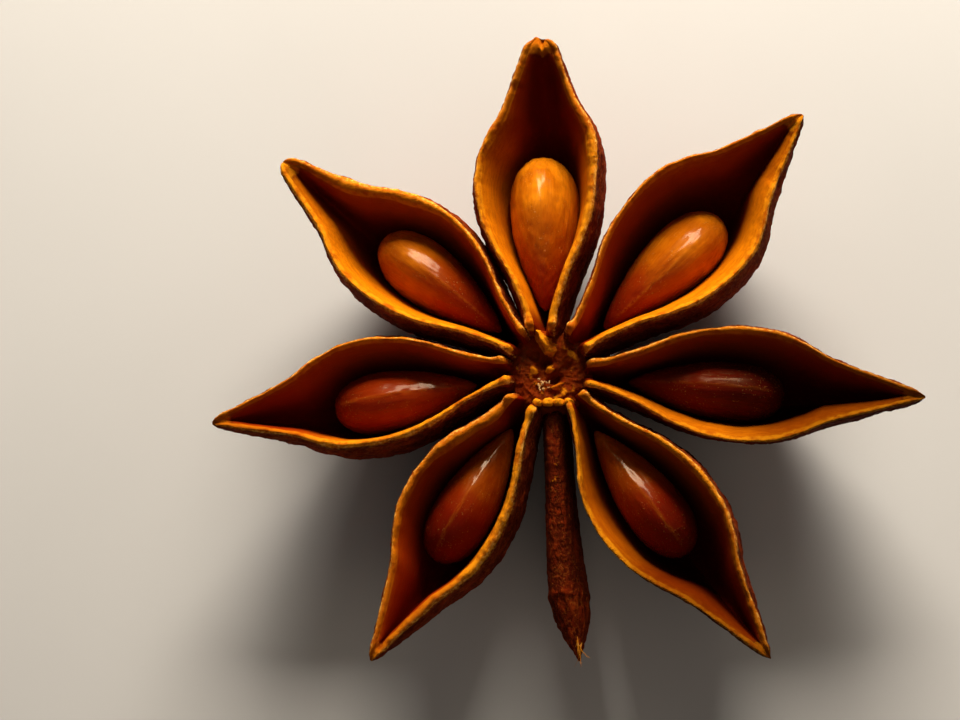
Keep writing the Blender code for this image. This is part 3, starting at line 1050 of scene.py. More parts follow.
@dataclass
class OpenCarpel:
    """One split carpel: a boat-shaped shell. Left is counter-clockwise, seen from above."""

    name: str
    azimuth: float
    length: float
    left: Side
    right: Side
    root_shift: float
    tip_half: float
    lift: float
    # Partly the shell's own tone, partly painted light and shade.
    tone: float
    seed: int
    closed: float = 0.97
    dark_from: float = 0.54
    dark_over: float = 0.24
    dim_after: float = 0.14
    tip_tone: float = 1.1
    thread_and_highlight_width: tuple[float, float] = (0.22, 0.02)
    blunt: float = 0.0
    lobes: tuple[tuple[float, float, float], ...] = ()
    curves: CarpelCurves = CarpelCurves()
    relief: CarpelRelief = CarpelRelief()
    rows: int = 216
    beak_rows: int = 16
    wall_columns: int = 31
    rim_columns: int = 9
    root_station: float = 0.04
    tip_start: float = 0.965
    hollow_from: tuple[float, float] = (1.5, 2.9)
    closing: float = 0.09

    def build(self) -> Sheet:
        """Lay out the shell's closed section at every station and roughen it.

        Towards the beak the section shrinks about its middle as a quarter circle does, and
        each lobe draws the blunt end out by out * exp(-(aside / size)^2).

        Returns:
            The sheet, turned to the carpel's azimuth.
        """
        noise = Noise(self.seed)
        spine = self._spine()
        s, x, middle, round_off = spine.s, spine.x, spine.middle, spine.round_off
        grid = self._grid(spine, noise)
        heart = (spine.top + spine.keel) / 2.0
        y = middle + (grid.pop("y") - middle) * np.maximum(round_off, self.blunt)
        z = heart + (grid.pop("z") - heart) * round_off
        drawn = np.broadcast_to(x, y.shape).copy()
        for aside, size, out in self.lobes:
            drawn += out * ease(0.90, 1.0, s) * np.exp(-((y - middle - aside) / size) ** 2)
        local = np.stack((drawn, y, z), axis=-1)
        shut = (1.0 - ease(0.0, 0.5, spine.opened)) * (s > 0.5)
        grid["edge"] = np.maximum(grid["edge"], 0.75 * shut * grid["inside"])
        grid["inside"] = grid["inside"] * (1.0 - shut)
        # Painted shade: near the column the inner wall takes the deep wall's darker red.
        grid["depth"] = np.maximum(grid["depth"], 0.8 * ease(3.6, 2.2, x) * grid["inside"])
        sheet = Sheet(local.copy(), local=local)
        grid["rise"] = self._roughen(sheet, noise, grid["inside"], grid["edge"],
                                     0.25 + 0.75 * round_off)
        grid["edge"] = grid["edge"] * (0.35 + 0.65 * ease(1.78, 2.02, x))
        sheet.points[..., 2] = np.maximum(sheet.points[..., 2], 0.0)
        sheet.fields = grid
        sheet.turn(self.azimuth)
        return sheet

    def _stations(self) -> np.ndarray:
        """Stations from root to beak, closer together where the beak rounds off.

        Returns:
            A column of stations.
        """
        body = np.linspace(self.root_station, self.tip_start, self.rows - self.beak_rows,
                           endpoint=False)
        turn = np.sin(np.linspace(0.0, 0.5 * np.pi, self.beak_rows))
        return np.concatenate((body, self.tip_start + (1.0 - self.tip_start) * turn))[:, None]

    def _down(self) -> np.ndarray:
        """Shares of a wall's depth, closer together near its edge."""
        return np.linspace(0.0, 1.0, self.wall_columns)[None, :] ** self.curves.edge_crowding

    def _across(self) -> np.ndarray:
        """Shares of the torn edge's width, without its two ends."""
        return np.linspace(0.0, 1.0, self.rim_columns + 2)[None, 1:-1]

    def _spine(self) -> Spine:
        """Everything that depends on the station alone.

        Returns:
            The carpel's lines.
        """
        c = self.curves
        s = self._stations()
        x = s * self.length
        past = np.clip((s - self.tip_start) / (1.0 - self.tip_start), 0.0, 1.0)
        grown = np.clip(s / c.grown_by, 0.0, 1.0)
        rooted = np.clip((c.root_end + c.root_round - x) / c.root_round, 0.0, 1.0)
        dome = np.sqrt(1.0 - rooted ** 2)
        top = c.rim_height + self.lift * grown + smooth_through(c.rim_line, s)
        return Spine(
            s=s, x=x, grown=grown, dome=dome,
            round_off=np.sqrt(np.clip(1.0 - past ** 2, 0.0, 1.0)),
            top=top - c.root_drop * (1.0 - dome),
            keel=smooth_through(c.keel_line, s),
            swell=smooth_through(c.bulge_line, s),
            middle=self.root_shift * np.clip(1.0 - s / c.shift_end, 0.0, 1.0) ** c.shift_power,
            opened=ease(*self.hollow_from, x) * ease(self.closed, self.closed - self.closing, s),
            sunk=c.wall_sink + c.root_sink * ease(*c.sink_from, x),
            floor=smooth_through(c.floor_line, s) + c.floor_lift * self.lift)

    def _half(self, s: np.ndarray, side: Side) -> np.ndarray:
        """Half width of the mouth's outer edge.

        The shared mouth curve is scaled to the side's width and slid so that it is widest at
        the side's belly; the beak's own half width is added towards the end.

        Args:
            s: the stations.
            side: the side.

        Returns:
            The half width at every station.
        """
        c = self.curves
        warped = np.interp(s, (0.0, side.belly, 1.0), (0.0, c.mouth_belly, 1.0))
        along = np.clip((s - c.beak_from) / (1.0 - c.beak_from), 0.0, 1.0)
        mouth = np.maximum(side.width * smooth_through(c.mouth, warped), c.mouth_least)
        return mouth + self.tip_half * along ** c.beak_power

    def _edge_lines(self, side: Side, sign: float, spine: Spine, noise: Noise) -> EdgeLines:
        """Run one side's edge from root to beak.

        Slow waves, wander, frays and nicks come from noise along the edge. The knob is a bell
        near the root, where the edge may also be drawn in.

        Args:
            side: the side's own sizes.
            sign: 1 for the left side, -1 for the right.
            spine: the carpel's lines.
            noise: the carpel's own noise.

        Returns:
            The edge's lines.
        """
        c, r, s, x, grown = self.curves, self.relief, spine.s, spine.x, spine.grown
        line = np.concatenate((x, np.full_like(x, 3.0 * sign), x * 0.0), axis=1)
        slow = noise.layered(line, r.slow[0], 2)[:, None]
        wander = noise.layered(line + 13.0, r.wander[0], 2)[:, None]
        fray = noise.layered(line + 20.0, r.fray[0], 3)[:, None]
        nick = ease(*r.nick_from, noise.at(line + 60.0, r.nick[0]))[:, None]
        knob = side.knob * np.exp(-((x - r.knob_at) / r.knob_half) ** 2)
        drawn_in = side.pinch * np.clip(1.0 - s / c.pinch_end, 0.0, 1.0) ** c.pinch_power
        full = self._half(s, side) - drawn_in - c.root_narrow * (1.0 - spine.dome)
        calm = full + r.slow[1] * slow * grown
        wide = calm + r.wander[1] * wander * grown + r.knob_out * knob
        thick = smooth_through(side.rim.value, s)
        rim = thick * (1.0 + r.rim_slow * slow)
        calm_mouth = np.maximum(c.slit_half, calm - np.minimum(rim, r.rim_most * calm))
        rim = rim + r.rim_wander * wander * thick
        rim = np.minimum(np.maximum(rim, r.rim_least), r.rim_most * wide) + r.rim_fray * fray
        rim = rim * (c.root_thin + (1.0 - c.root_thin) * spine.dome) + r.knob_thick * knob
        high = spine.top + (r.slow[1] * slow + r.wander[1] * wander + r.fray[1] * fray
                            - r.nick[1] * nick) * grown
        high = high + r.knob_up * knob - c.pinch_drop * np.abs(drawn_in)
        return EdgeLines(calm, wide, calm_mouth, np.maximum(c.slit_half, wide - rim), rim, high)

    def _section(self, side: Side, sign: float, spine: Spine,
                 noise: Noise) -> dict[Zone, tuple[np.ndarray, np.ndarray]]:
        """One side of the section at every station.

        The outside is half width times (1 - depth^a)^b plus a swelling of half a sine below
        the edge, less the tuck there. The inside is the mouth less
        lean * (1 - exp(-depth / c)), times the same fullness, so that it slopes in to the
        seed and then drops. The edge is a sine arch over the wall's thickness.

        Args:
            side: the side's own sizes.
            sign: 1 for the left side, -1 for the right.
            spine: the carpel's lines.
            noise: the carpel's own noise.

        Returns:
            The sideways place and the height of each zone.
        """
        c, e = self.curves, self._edge_lines(side, sign, spine, noise)
        down, across = self._down(), self._across()
        shape = (1.0 - down ** c.fullness[0]) ** c.fullness[1]
        belly = np.sin(np.pi * np.minimum(1.0, down / c.bulge_depth))
        near_edge = np.exp(-down / c.fray_depth)
        flat = np.minimum(c.keel_half, c.keel_most * e.calm)
        outer_y = flat + (e.calm - flat) * shape + spine.swell * belly
        outer_y = outer_y + (e.wide - e.calm) * near_edge
        outer_y = outer_y - side.tuck * e.calm / np.max(e.calm) * belly
        outer_z = e.high - down * (e.high - spine.keel)
        lean_in = 1.0 - np.exp(-down / c.lean_depth)
        leaning = np.minimum(side.lean * smooth_through(c.lean_line, spine.s),
                             c.lean_most * e.calm_mouth)
        slope_y = (e.calm_mouth - leaning * lean_in) * shape
        slope_y = slope_y + (e.mouth - e.calm_mouth) * near_edge
        inner_y = np.maximum(slope_y, c.slit_half * (1.0 - c.slit_narrow * down))
        shallow = e.high - spine.sunk
        depth = shallow - spine.opened * (shallow - spine.floor)
        inner_z = e.high - c.inner_step - down * (e.high - c.inner_step - depth)
        rim_y = e.wide + (e.mouth - e.wide) * across
        arch = c.crown * e.rim * np.sin(np.pi * across) ** c.crown_power
        rim_z = e.high + arch - c.inner_step * across ** 2
        return {Zone.OUTER: (spine.middle + sign * outer_y, outer_z),
                Zone.RIM: (spine.middle + sign * rim_y, rim_z),
                Zone.INNER: (spine.middle + sign * inner_y, inner_z)}

    def _grid(self, spine: Spine, noise: Noise) -> dict[str, np.ndarray]:
        """Join both sides into one ring of columns, with the masks of each zone.

        The ring runs down the left outside, up the right outside, over the right edge, down
        the right inside, up the left inside and back over the left edge.

        Args:
            spine: the carpel's lines.
            noise: the carpel's own noise.

        Returns:
            The ring's y and z and the wood finish's masks, each (stations, columns).
        """
        down, across = self._down(), self._across()
        one = np.ones_like(spine.s)
        left = (self.left, self._section(self.left, 1.0, spine, noise))
        right = (self.right, self._section(self.right, -1.0, spine, noise))
        ring = ((*left, Zone.OUTER, 1), (*right, Zone.OUTER, -1), (*right, Zone.RIM, 1),
                (*right, Zone.INNER, 1), (*left, Zone.INNER, -1), (*left, Zone.RIM, -1))
        names = ("y", "z", "inside", "depth", "edge", "lip", "painted_shade", "tone")
        blocks = {name: [] for name in names}
        darker = ease(self.dark_from, self.dark_from + self.dark_over, spine.s)
        # Darker towards the beak.
        beak_dim = self.tip_tone * ease(self.dark_from + self.dim_after, 1.0, spine.s)
        for side, section, zone, way in ring:
            line = across if zone is Zone.RIM else down
            level = np.ones_like(line)
            y, z = section[zone]
            blocks["y"].append(y[:, ::way])
            blocks["z"].append(z[:, ::way])
            blocks["inside"].append(one * float(zone is Zone.INNER) * level)
            blocks["depth"].append(one * (0.0 if zone is Zone.RIM else 1.0) * line[:, ::way])
            blocks["edge"].append(one * np.exp(-line / zone.value)[:, ::way])
            blocks["lip"].append(one * self._threads_and_highlight(zone, line)[:, ::way])
            # Painted shade on the wall, along it and more towards the beak.
            blocks["painted_shade"].append(np.maximum(side.painted_shade, side.tip_painted_shade * darker) * level)
            # Brightness: the carpel's tone with painted shade towards the beak, and darker at the
            # beak.
            blocks["tone"].append((self.tone - side.tip_shade * darker - beak_dim) * level)
        return {name: np.concatenate(parts, axis=1) for name, parts in blocks.items()}

    def _threads_and_highlight(self, zone: Zone, line: np.ndarray) -> np.ndarray:
        """Where pale torn strands and a painted highlight show: a bell on the edge's outer side.

        Args:
            zone: the part of the section.
            line: shares of the zone's depth or width.

        Returns:
            The mask, shaped like `line`.
        """
        on_rim, outside = self.thread_and_highlight_width
        if zone is Zone.INNER:
            return line * 0.0
        return np.exp(-(line / on_rim) ** 2) if zone is Zone.RIM else np.exp(-line / outside)

    def _roughen(self, sheet: Sheet, noise: Noise, inside: np.ndarray, edge: np.ndarray,
                 calm_end: np.ndarray) -> np.ndarray:
        """Push wrinkles into the skin, grain into the edges and a faint wave into the wall.

        Args:
            sheet: the smooth shell, moved in place.
            noise: the carpel's own noise.
            inside: 1 on the inner wall.
            edge: 1 on the torn edge.
            calm_end: share of the relief at each station, falling at the beak.

        Returns:
            The relief's height, from about -1 to 1.
        """
        r = self.relief
        place = sheet.local
        folded = place * np.array((0.75, 1.0, 1.3))
        wrinkles = noise.ridged(folded, r.wrinkle[0]) + 0.5 * noise.ridged(folded + 11.0, r.pucker)
        grain = noise.layered(place + 31.0, r.grain[0], 3)
        wave = noise.at(drawn_out(place, 0.5), r.wave[0])
        outside = (1.0 - inside) * (1.0 - edge)
        relief = outside * (r.wrinkle[1] * (wrinkles - 0.6) + r.grain[1] * grain)
        relief = relief + edge * r.edge_grain * grain + inside * r.wave[1] * wave
        sheet.push(relief * calm_end)
        return np.clip(outside * (wrinkles - 0.6) + edge * 1.6 * grain, -1.0, 1.0)


# ---------------------------------------------------------------- the shut carpel


@dataclass
class ShutCarpel:
    """The carpel that never ripened: a thin lens on edge with a speckled crest."""

    azimuth: float = -84.9
    length: float = 13.7
    half_line: Curve = ((0.0, 0.60), (0.3, 0.62), (0.55, 0.78), (0.80, 0.95), (0.90, 0.62),
                        (1.0, 0.05))
    crest_line: Curve = ((0.0, 5.0), (0.10, 5.5), (0.17, 6.35), (0.50, 5.9), (0.80, 5.5),
                         (1.0, 4.7))
    keel_line: Curve = ((0.0, 2.4), (0.2, 1.2), (0.45, 0.5), (0.70, 1.1), (0.90, 2.9),
                        (1.0, 4.2))
    bow: float = -0.32
    fullness: float = 0.55
    # Partly painted shade: the shut carpel lies in shade behind the column and is darkened.
    tone: float = -0.8
    wrinkle: tuple[float, float] = (0.9, 0.04)
    grain: tuple[float, float] = (0.4, 0.03)
    bead: tuple[float, float] = (0.15, 0.03)
    fibre: tuple[float, float] = (0.20, 0.085)
    ragged: tuple[float, float] = (0.30, 0.020)
    frays: tuple[float, float] = (0.765, 0.785)
    collar: tuple[float, float, float] = (0.77, 0.018, 0.05)
    moss: tuple[float, float, float] = (0.36, 0.07, 0.28)
    root_station: float = 0.04
    rows: int = 260
    columns: int = 120
    seed: int = 81

    def build(self) -> Sheet:
        """Lens section: half width times a rounded sine, height times a cosine.

        The crest is beaded with small bumps, and the last quarter is drawn into fibres. Each
        pair above is the size of a bump and its height; `collar` and `moss` are a station, a
        half length and a strength.

        Returns:
            The sheet, turned to its azimuth.
        """
        noise = Noise(self.seed)
        s = np.linspace(self.root_station, 1.0, self.rows)[:, None]
        turn = around(self.columns)
        crest = smooth_through(self.crest_line, s)
        keel = smooth_through(self.keel_line, s)
        half = smooth_through(self.half_line, s)
        sine = signed_power(np.sin(turn), self.fullness)
        y = self.bow * np.sin(np.pi * s ** 1.5) + half * sine
        z = (crest + keel) / 2 + (crest - keel) / 2 * np.cos(turn)
        x = np.broadcast_to(s * self.length, y.shape)
        local = np.stack((x, y, z), axis=-1)
        sheet = Sheet(local.copy(), local=local)
        upper = np.broadcast_to(ease(0.975, 1.0, np.cos(turn)), y.shape)
        torn = ease(*self.frays, s + self.ragged[1] * noise.at(drawn_out(local, 0.1),
                                                               self.ragged[0]))
        beads = noise.at(drawn_out(local, 0.8), self.bead[0])
        wrinkles = noise.ridged(drawn_out(local, 0.2), self.wrinkle[0])
        grain = noise.layered(local + 17.0, self.grain[0], 3)
        fibres = noise.layered(local * np.array((0.08, 1.0, 0.8)), self.fibre[0], 2)
        collar = np.exp(-((s - self.collar[0]) / self.collar[1]) ** 2)
        relief = (1 - torn) * (self.wrinkle[1] * (wrinkles - 0.5) + self.grain[1] * grain
                               + self.bead[1] * upper * beads)
        relief = relief + torn * (self.fibre[1] * fibres - 0.05)
        sheet.push(relief + self.collar[2] * collar * (0.6 + fibres))
        rise = np.clip((1 - torn) * (wrinkles - 0.6 + 0.8 * upper * beads)
                       + torn * (1.4 * fibres + 0.1), -1.0, 1.0)
        mossy = 0.30 + self.moss[2] * np.exp(-((s - self.moss[0]) / self.moss[1]) ** 2)
        edge = np.clip(upper * (1 - torn) * ease(0.0, 0.5, beads) * mossy
                       + torn * 0.26 * ease(0.05, 0.5, fibres), 0.0, 1.0)
        sheet.fields = wood_fields(y.shape, edge=edge, rise=rise, tone=self.tone)
        sheet.turn(self.azimuth)
        return sheet


# ---------------------------------------------------------------- the column


@dataclass
class Column:
    """The rough middle that carries the carpels, with the broken stalk below it."""

    profile: Curve = ((0.0, 0.0), (0.95, 0.0), (0.92, 0.8), (1.75, 1.7), (2.0, 3.0),
                      (2.0, 5.2), (2.08, 5.75), (1.86, 6.14), (1.35, 6.38), (0.95, 6.28),
                      (0.50, 6.18), (0.0, 6.18))
    top_from: tuple[float, float] = (5.4, 5.9)
    grain: tuple[float, float] = (0.38, 0.07)
    rib: tuple[float, float] = (0.28, 0.05)
    bark: tuple[float, float] = (0.4, 0.09)
    side_grain: float = 0.05
    # Raised parts of the top are paler: partly the column's own ochre, partly painted highlight.
    pale_and_lit_above: tuple[float, float] = (6.2, 0.45)
    # The rest of the top takes the deep wall's darker red: partly the column's own colour, partly
    # painted shade.
    depth_shade: float = 0.74
    rows: int = 220
    columns: int = 200
    seed: int = 5
    knob: tuple[float, float, float, float] = (0.08, 0.08, 0.24, 0.52)
    pits: tuple[tuple[float, float, float, float], ...] = (
        (-0.22, 0.42, 0.27, -0.55), (0.28, -0.32, 0.30, -0.60), (-0.75, 0.85, 0.30, -0.45),
        (0.85, 0.25, 0.22, -0.25))
    mounds: tuple[tuple[float, float, float, float], ...] = (
        (0.10, 0.88, 0.26, 0.48), (-0.08, 1.18, 0.24, 0.55), (-0.26, 1.46, 0.22, 0.62),
        (-0.44, 1.72, 0.22, 0.72), (-0.55, 1.95, 0.20, 0.80),
        (-0.70, 0.05, 0.28, 0.25), (0.22, -0.80, 0.20, 0.30), (0.42, -0.74, 0.18, 0.30),
        (0.62, -0.58, 0.18, 0.28), (-0.35, -0.60, 0.24, 0.20), (1.05, 0.75, 0.30, 0.12))

    def build(self) -> Sheet:
        """Turn the profile about Z and press knob, mounds and pits into its top.

        The profile is read at even steps of its own length. On the top each feature, given
        as x, y, radius and height, adds height * exp(-(distance / radius)^2), and fine ribs
        run outwards.

        Returns:
            The sheet.
        """
        noise = Noise(self.seed)
        line = np.array(self.profile)
        length = np.concatenate(([0.0], np.cumsum(np.linalg.norm(np.diff(line, axis=0), axis=1))))
        even = np.linspace(0.0, length[-1], self.rows)
        radius = np.interp(even, length, line[:, 0])[:, None]
        height = np.interp(even, length, line[:, 1])[:, None]
        turn = around(self.columns)
        x, y = radius * np.cos(turn), radius * np.sin(turn)
        z = np.broadcast_to(height, x.shape).copy()
        top = ease(*self.top_from, height) * np.ones_like(x)
        for cx, cy, size, lift in (self.knob, *self.pits, *self.mounds):
            z = z + top * lift * np.exp(-((x - cx) ** 2 + (y - cy) ** 2) / size ** 2)
        local = np.stack((x, y, z), axis=-1)
        sheet = Sheet(local.copy(), local=local)
        polar = np.stack((radius * np.ones_like(x) * 0.5, 2.4 * np.cos(turn) * np.ones_like(x),
                          2.4 * np.sin(turn) * np.ones_like(x)), axis=-1)
        ribs = noise.layered(polar, self.rib[0], 2)
        grain = noise.layered(local + 9.0, self.grain[0], 4)
        bark = noise.layered(local * np.array((1.0, 1.0, 0.25)), self.bark[0], 3)
        stalk = 1.0 - ease(0.9, 1.6, height)
        foot = ease(0.02, 0.25, height)
        relief = top * (self.grain[1] * grain + self.rib[1] * ribs * ease(0.5, 1.1, radius))
        sheet.push(relief + (1 - top) * foot * (self.side_grain * grain
                                                + self.bark[1] * stalk * bark))
        sheet.points[..., 2] = np.maximum(sheet.points[..., 2], 0.0)
        # Paler where raised, partly painted highlight; the rest of the top is darker red, partly
        # painted shade.
        raised = np.clip((z - self.pale_and_lit_above[0]) / self.pale_and_lit_above[1], -1.0, 1.0)
        edge = top * np.clip(1.05 * raised + 0.35 * grain - 0.05, 0.0, 0.85)
        base = (1.0 - ease(0.01, 0.05, height)) * np.ones_like(x)
        sheet.fields = wood_fields(x.shape, inside=0.80 * top * (1.0 - edge),
                                   edge=np.maximum(edge, 0.45 * base),
                                   depth=self.depth_shade,
                                   rise=np.clip(1.7 * grain + 0.5 * ribs * top, -1.0, 1.0))
        return sheet


@dataclass
class InnerBar:
    """The short knobbly bar across the shut carpel's inner end."""

    centre: tuple[float, float, float] = (0.22, -1.56, 6.45)
    length: float = 2.06
    half_width: float = 0.19
    half_height: float = 0.55
    knobs: int = 4
    groove: float = 0.30
    swell: float = 0.38
    grain: tuple[float, float] = (0.35, 0.050)
    tone: float = 0.2
    rows: int = 120
    columns: int = 48
    seed: int = 23

    def build(self) -> Sheet:
        """A rounded bar along X: a superellipse section that swells at every knob.

        Returns:
            The sheet.
        """
        noise = Noise(self.seed)
        s = np.linspace(-1.0, 1.0, self.rows)[:, None]
        turn = around(self.columns)
        ends = np.clip(1.0 - s ** 8, 0.0, 1.0) ** 0.5
        knob = np.abs(np.sin(0.5 * np.pi * self.knobs * (s + 1.0)))
        lumps = 1.0 - self.groove + self.swell * knob ** 0.6
        y = self.half_width * ends * lumps * signed_power(np.cos(turn), 0.7)
        crown = ends * self.half_height * signed_power(np.sin(turn), 0.6)
        z = crown + 0.85 * (lumps - 1.0) * ease(0.0, 1.0, np.sin(turn))
        x = np.broadcast_to(s * self.length / 2, y.shape)
        local = np.stack((x, y, z), axis=-1) + np.array(self.centre)
        sheet = Sheet(local.copy(), local=local)
        grain = noise.layered(local, self.grain[0], 3)
        sheet.push(self.grain[1] * grain)
        up = ease(0.2, 0.8, np.sin(turn)) * (0.55 + 0.45 * ease(0.2, 0.6, knob))
        sheet.fields = wood_fields(y.shape, edge=0.95 * up, tone=self.tone,
                                   rise=np.clip(1.5 * grain, -1, 1))
        return sheet


@dataclass
class Crumbs:
    """Pale crumbs of pith caught on the column's top."""

    centre: tuple[float, float, float] = (-0.36, -0.60, 6.42)
    spread: tuple[float, float, float] = (0.20, 0.16, 0.03)
    count: int = 13
    size: tuple[float, float] = (0.028, 0.068)
    lump: tuple[float, float] = (1.1, 0.7)
    rows: int = 11
    columns: int = 14
    seed: int = 12

    def build(self) -> list[Sheet]:
        """Lumps: a unit ball times (1 + noise), scaled unevenly and placed at random.

        Returns:
            One sheet for each crumb.
        """
        rng = np.random.default_rng(self.seed)
        noise = Noise(self.seed)
        rise = np.linspace(-0.96, 0.96, self.rows)[:, None]
        turn = around(self.columns)
        ring = np.sqrt(1.0 - rise ** 2)
        ball = np.stack((ring * np.cos(turn), ring * np.sin(turn),
                         rise * np.ones_like(turn)), axis=-1)
        made = []
        for _ in range(self.count):
            scale = rng.uniform(*self.size) * rng.uniform(0.7, 1.3, 3)
            place = np.array(self.centre) + rng.normal(size=3) * np.array(self.spread)
            bumps = noise.layered(ball + 9.0 * place, self.lump[0], 2)
            points = ball * scale * (1.0 + self.lump[1] * bumps[..., None]) + place
            masks = wood_fields(points.shape[:2], edge=1.0, rise=0.4, tone=0.5, pith=0.9)
            made.append(Sheet(points, masks, points.copy()))
        return made


@dataclass
class LooseFibres:
    """Hair-thin strands torn loose, each a curved tube.

    A tuft is an azimuth, a place (out, aside, up), a heading in degrees and a count.
    """

    tufts: tuple[tuple[float, float, float, float, float, int], ...] = (
        (-84.9, 12.6, 0.10, 4.95, 0.0, 7), (-84.9, 11.0, -0.34, 5.35, 186.0, 3),
    )
    length: tuple[float, float] = (0.5, 1.3)
    radius: tuple[float, float] = (0.010, 0.018)
    rows: int = 14
    columns: int = 6
    seed: int = 64

    def build(self) -> list[Sheet]:
        """Strands that start in a tuft, lie nearly flat and curl.

        A strand's middle line is start + length * (t cos a(t), t sin a(t)) with a heading
        that turns evenly with t, and its radius falls as the square root of 1 - t.

        Returns:
            One sheet for each strand.
        """
        rng = np.random.default_rng(self.seed)
        t = np.linspace(0.0, 1.0, self.rows)
        turn = around(self.columns)[0]
        made = []
        for azimuth, out, aside, height, heading, count in self.tufts:
            for _ in range(count):
                long = rng.uniform(*self.length)
                thick = rng.uniform(*self.radius)
                swing = np.radians(heading + rng.normal(0.0, 12.0)) + rng.normal(0.0, 0.5) * t
                start = np.array((out, aside, height)) + rng.normal(0.0, 0.12, 3) * (1, 1, 0.2)
                line = np.stack((np.cos(swing), np.sin(swing), rng.normal(0.05, 0.12) + 0.0 * t),
                                axis=-1)
                line = start + long * np.cumsum(line, axis=0) / self.rows
                along = np.gradient(line, axis=0)
                along /= np.linalg.norm(along, axis=1, keepdims=True)
                side = np.cross(along, (0.0, 0.0, 1.0))
                side /= np.linalg.norm(side, axis=1, keepdims=True)
                over = np.cross(side, along)
                girth = thick * np.sqrt(1.0 - 0.9 * t)[:, None, None]
                points = line[:, None] + girth * (side[:, None] * np.cos(turn)[:, None]
                                                  + over[:, None] * np.sin(turn)[:, None])
                masks = wood_fields(points.shape[:2], edge=1.0, tone=0.6, lip=0.6)
                sheet = Sheet(points, masks, points.copy())
                sheet.turn(azimuth)
                made.append(sheet)
        return made


# ---------------------------------------------------------------- the seeds


@dataclass
class Seed:
    """A loose seed lying on edge in its hollow, blunt end outwards.

    `half` is its half length, width and height, `ripe_and_light` its ripeness with painted
    light and shade at the stations `ripe_and_light_at`, and each pair of `dent` and `dimple`
    the size of a bump and its height.
    """

    name: str
    azimuth: float
    reach: float
    shift: float
    half: tuple[float, float, float]
    seed: int
    ripe_and_light: tuple[float, float, float]
    crest: float
    roll: float = 0.0
    flute: float = 0.022
    pitch: float = 6.5
    height: float = 4.55
    taper: float = 0.35
    ridge: float = 0.05
    blunt_end: tuple[float, float] = (2.4, 0.5)
    pointed_end: tuple[float, float] = (1.8, 0.65)
    dent: tuple[float, float] = (1.4, 0.020)
    dimple: tuple[float, float] = (0.34, 0.011)
    flute_size: float = 0.25
    crest_half: float = 0.07
    crest_height: float = 0.05
    ripe_and_light_at: tuple[float, float, float] = (-0.9, -0.1, 0.35)
    rows: int = 130
    columns: int = 110

    def build(self) -> Sheet:
        """An egg with a faint seam along its upper edge.

        Along the seed u runs from -1 at the point to 1 at the blunt end. The half width is
        (1 - |u|^p)^q times (1 + taper * u) over its largest value, with p and q from
        `blunt_end` or `pointed_end`. Round it the section is an ellipse whose upper edge is
        lifted by ridge * sin^6. The seed is rolled about its length and its blunt end is
        tipped down by `pitch`.

        Returns:
            The sheet, turned to its carpel's azimuth.
        """
        noise = Noise(self.seed)
        u = -np.cos(np.linspace(0.03, np.pi - 0.03, self.rows))[:, None]
        turn = around(self.columns)
        blunt, pointed = (np.clip(1.0 - np.abs(u) ** p, 0.0, 1.0) ** q
                          for p, q in (self.blunt_end, self.pointed_end))
        ring = np.where(u > 0.0, blunt, pointed) * (1.0 + self.taper * u)
        ring = ring / ring.max()
        a, b, c = self.half
        upward = np.clip(np.sin(turn), 0.0, 1.0)
        y = b * ring * np.cos(turn)
        z = c * ring * np.sin(turn) + self.ridge * upward ** 6 * (1.0 - u * u)
        x = np.broadcast_to(a * u, y.shape)
        local = np.stack((x, y, z), axis=-1)
        dip, roll = np.radians(self.pitch), np.radians(self.roll)
        across = np.cos(roll) * y - np.sin(roll) * z
        upright = np.sin(roll) * y + np.cos(roll) * z
        tipped = np.stack((np.cos(dip) * x + np.sin(dip) * upright, across,
                           np.cos(dip) * upright - np.sin(dip) * x), axis=-1)
        sheet = Sheet(tipped + np.array((self.reach, self.shift, self.height)), local=local)
        dents = noise.at(drawn_out(local, 0.6), self.dent[0])
        flutes = noise.layered(drawn_out(local, 0.12), self.flute_size, 2)
        crest = np.exp(-(y / self.crest_half) ** 2) * upward
        crest = crest * ease(-0.98, -0.6, u) * ease(0.95, 0.6, u)
        dimples = noise.layered(drawn_out(local, 0.5), self.dimple[0], 2)
        sheet.push(self.dent[1] * dents + self.flute * flutes + self.dimple[1] * dimples
                   + self.crest_height * self.crest * crest)
        # Ripeness along the seed, mixed with painted light and shade.
        ripe_and_light = smooth_through(tuple(zip(self.ripe_and_light_at, self.ripe_and_light)), u)
        sheet.fields = {"crest": self.crest * crest, "ripe_and_light": np.broadcast_to(ripe_and_light, y.shape)}
        sheet.turn(self.azimuth)
        return sheet


# ---------------------------------------------------------------- the whole pod


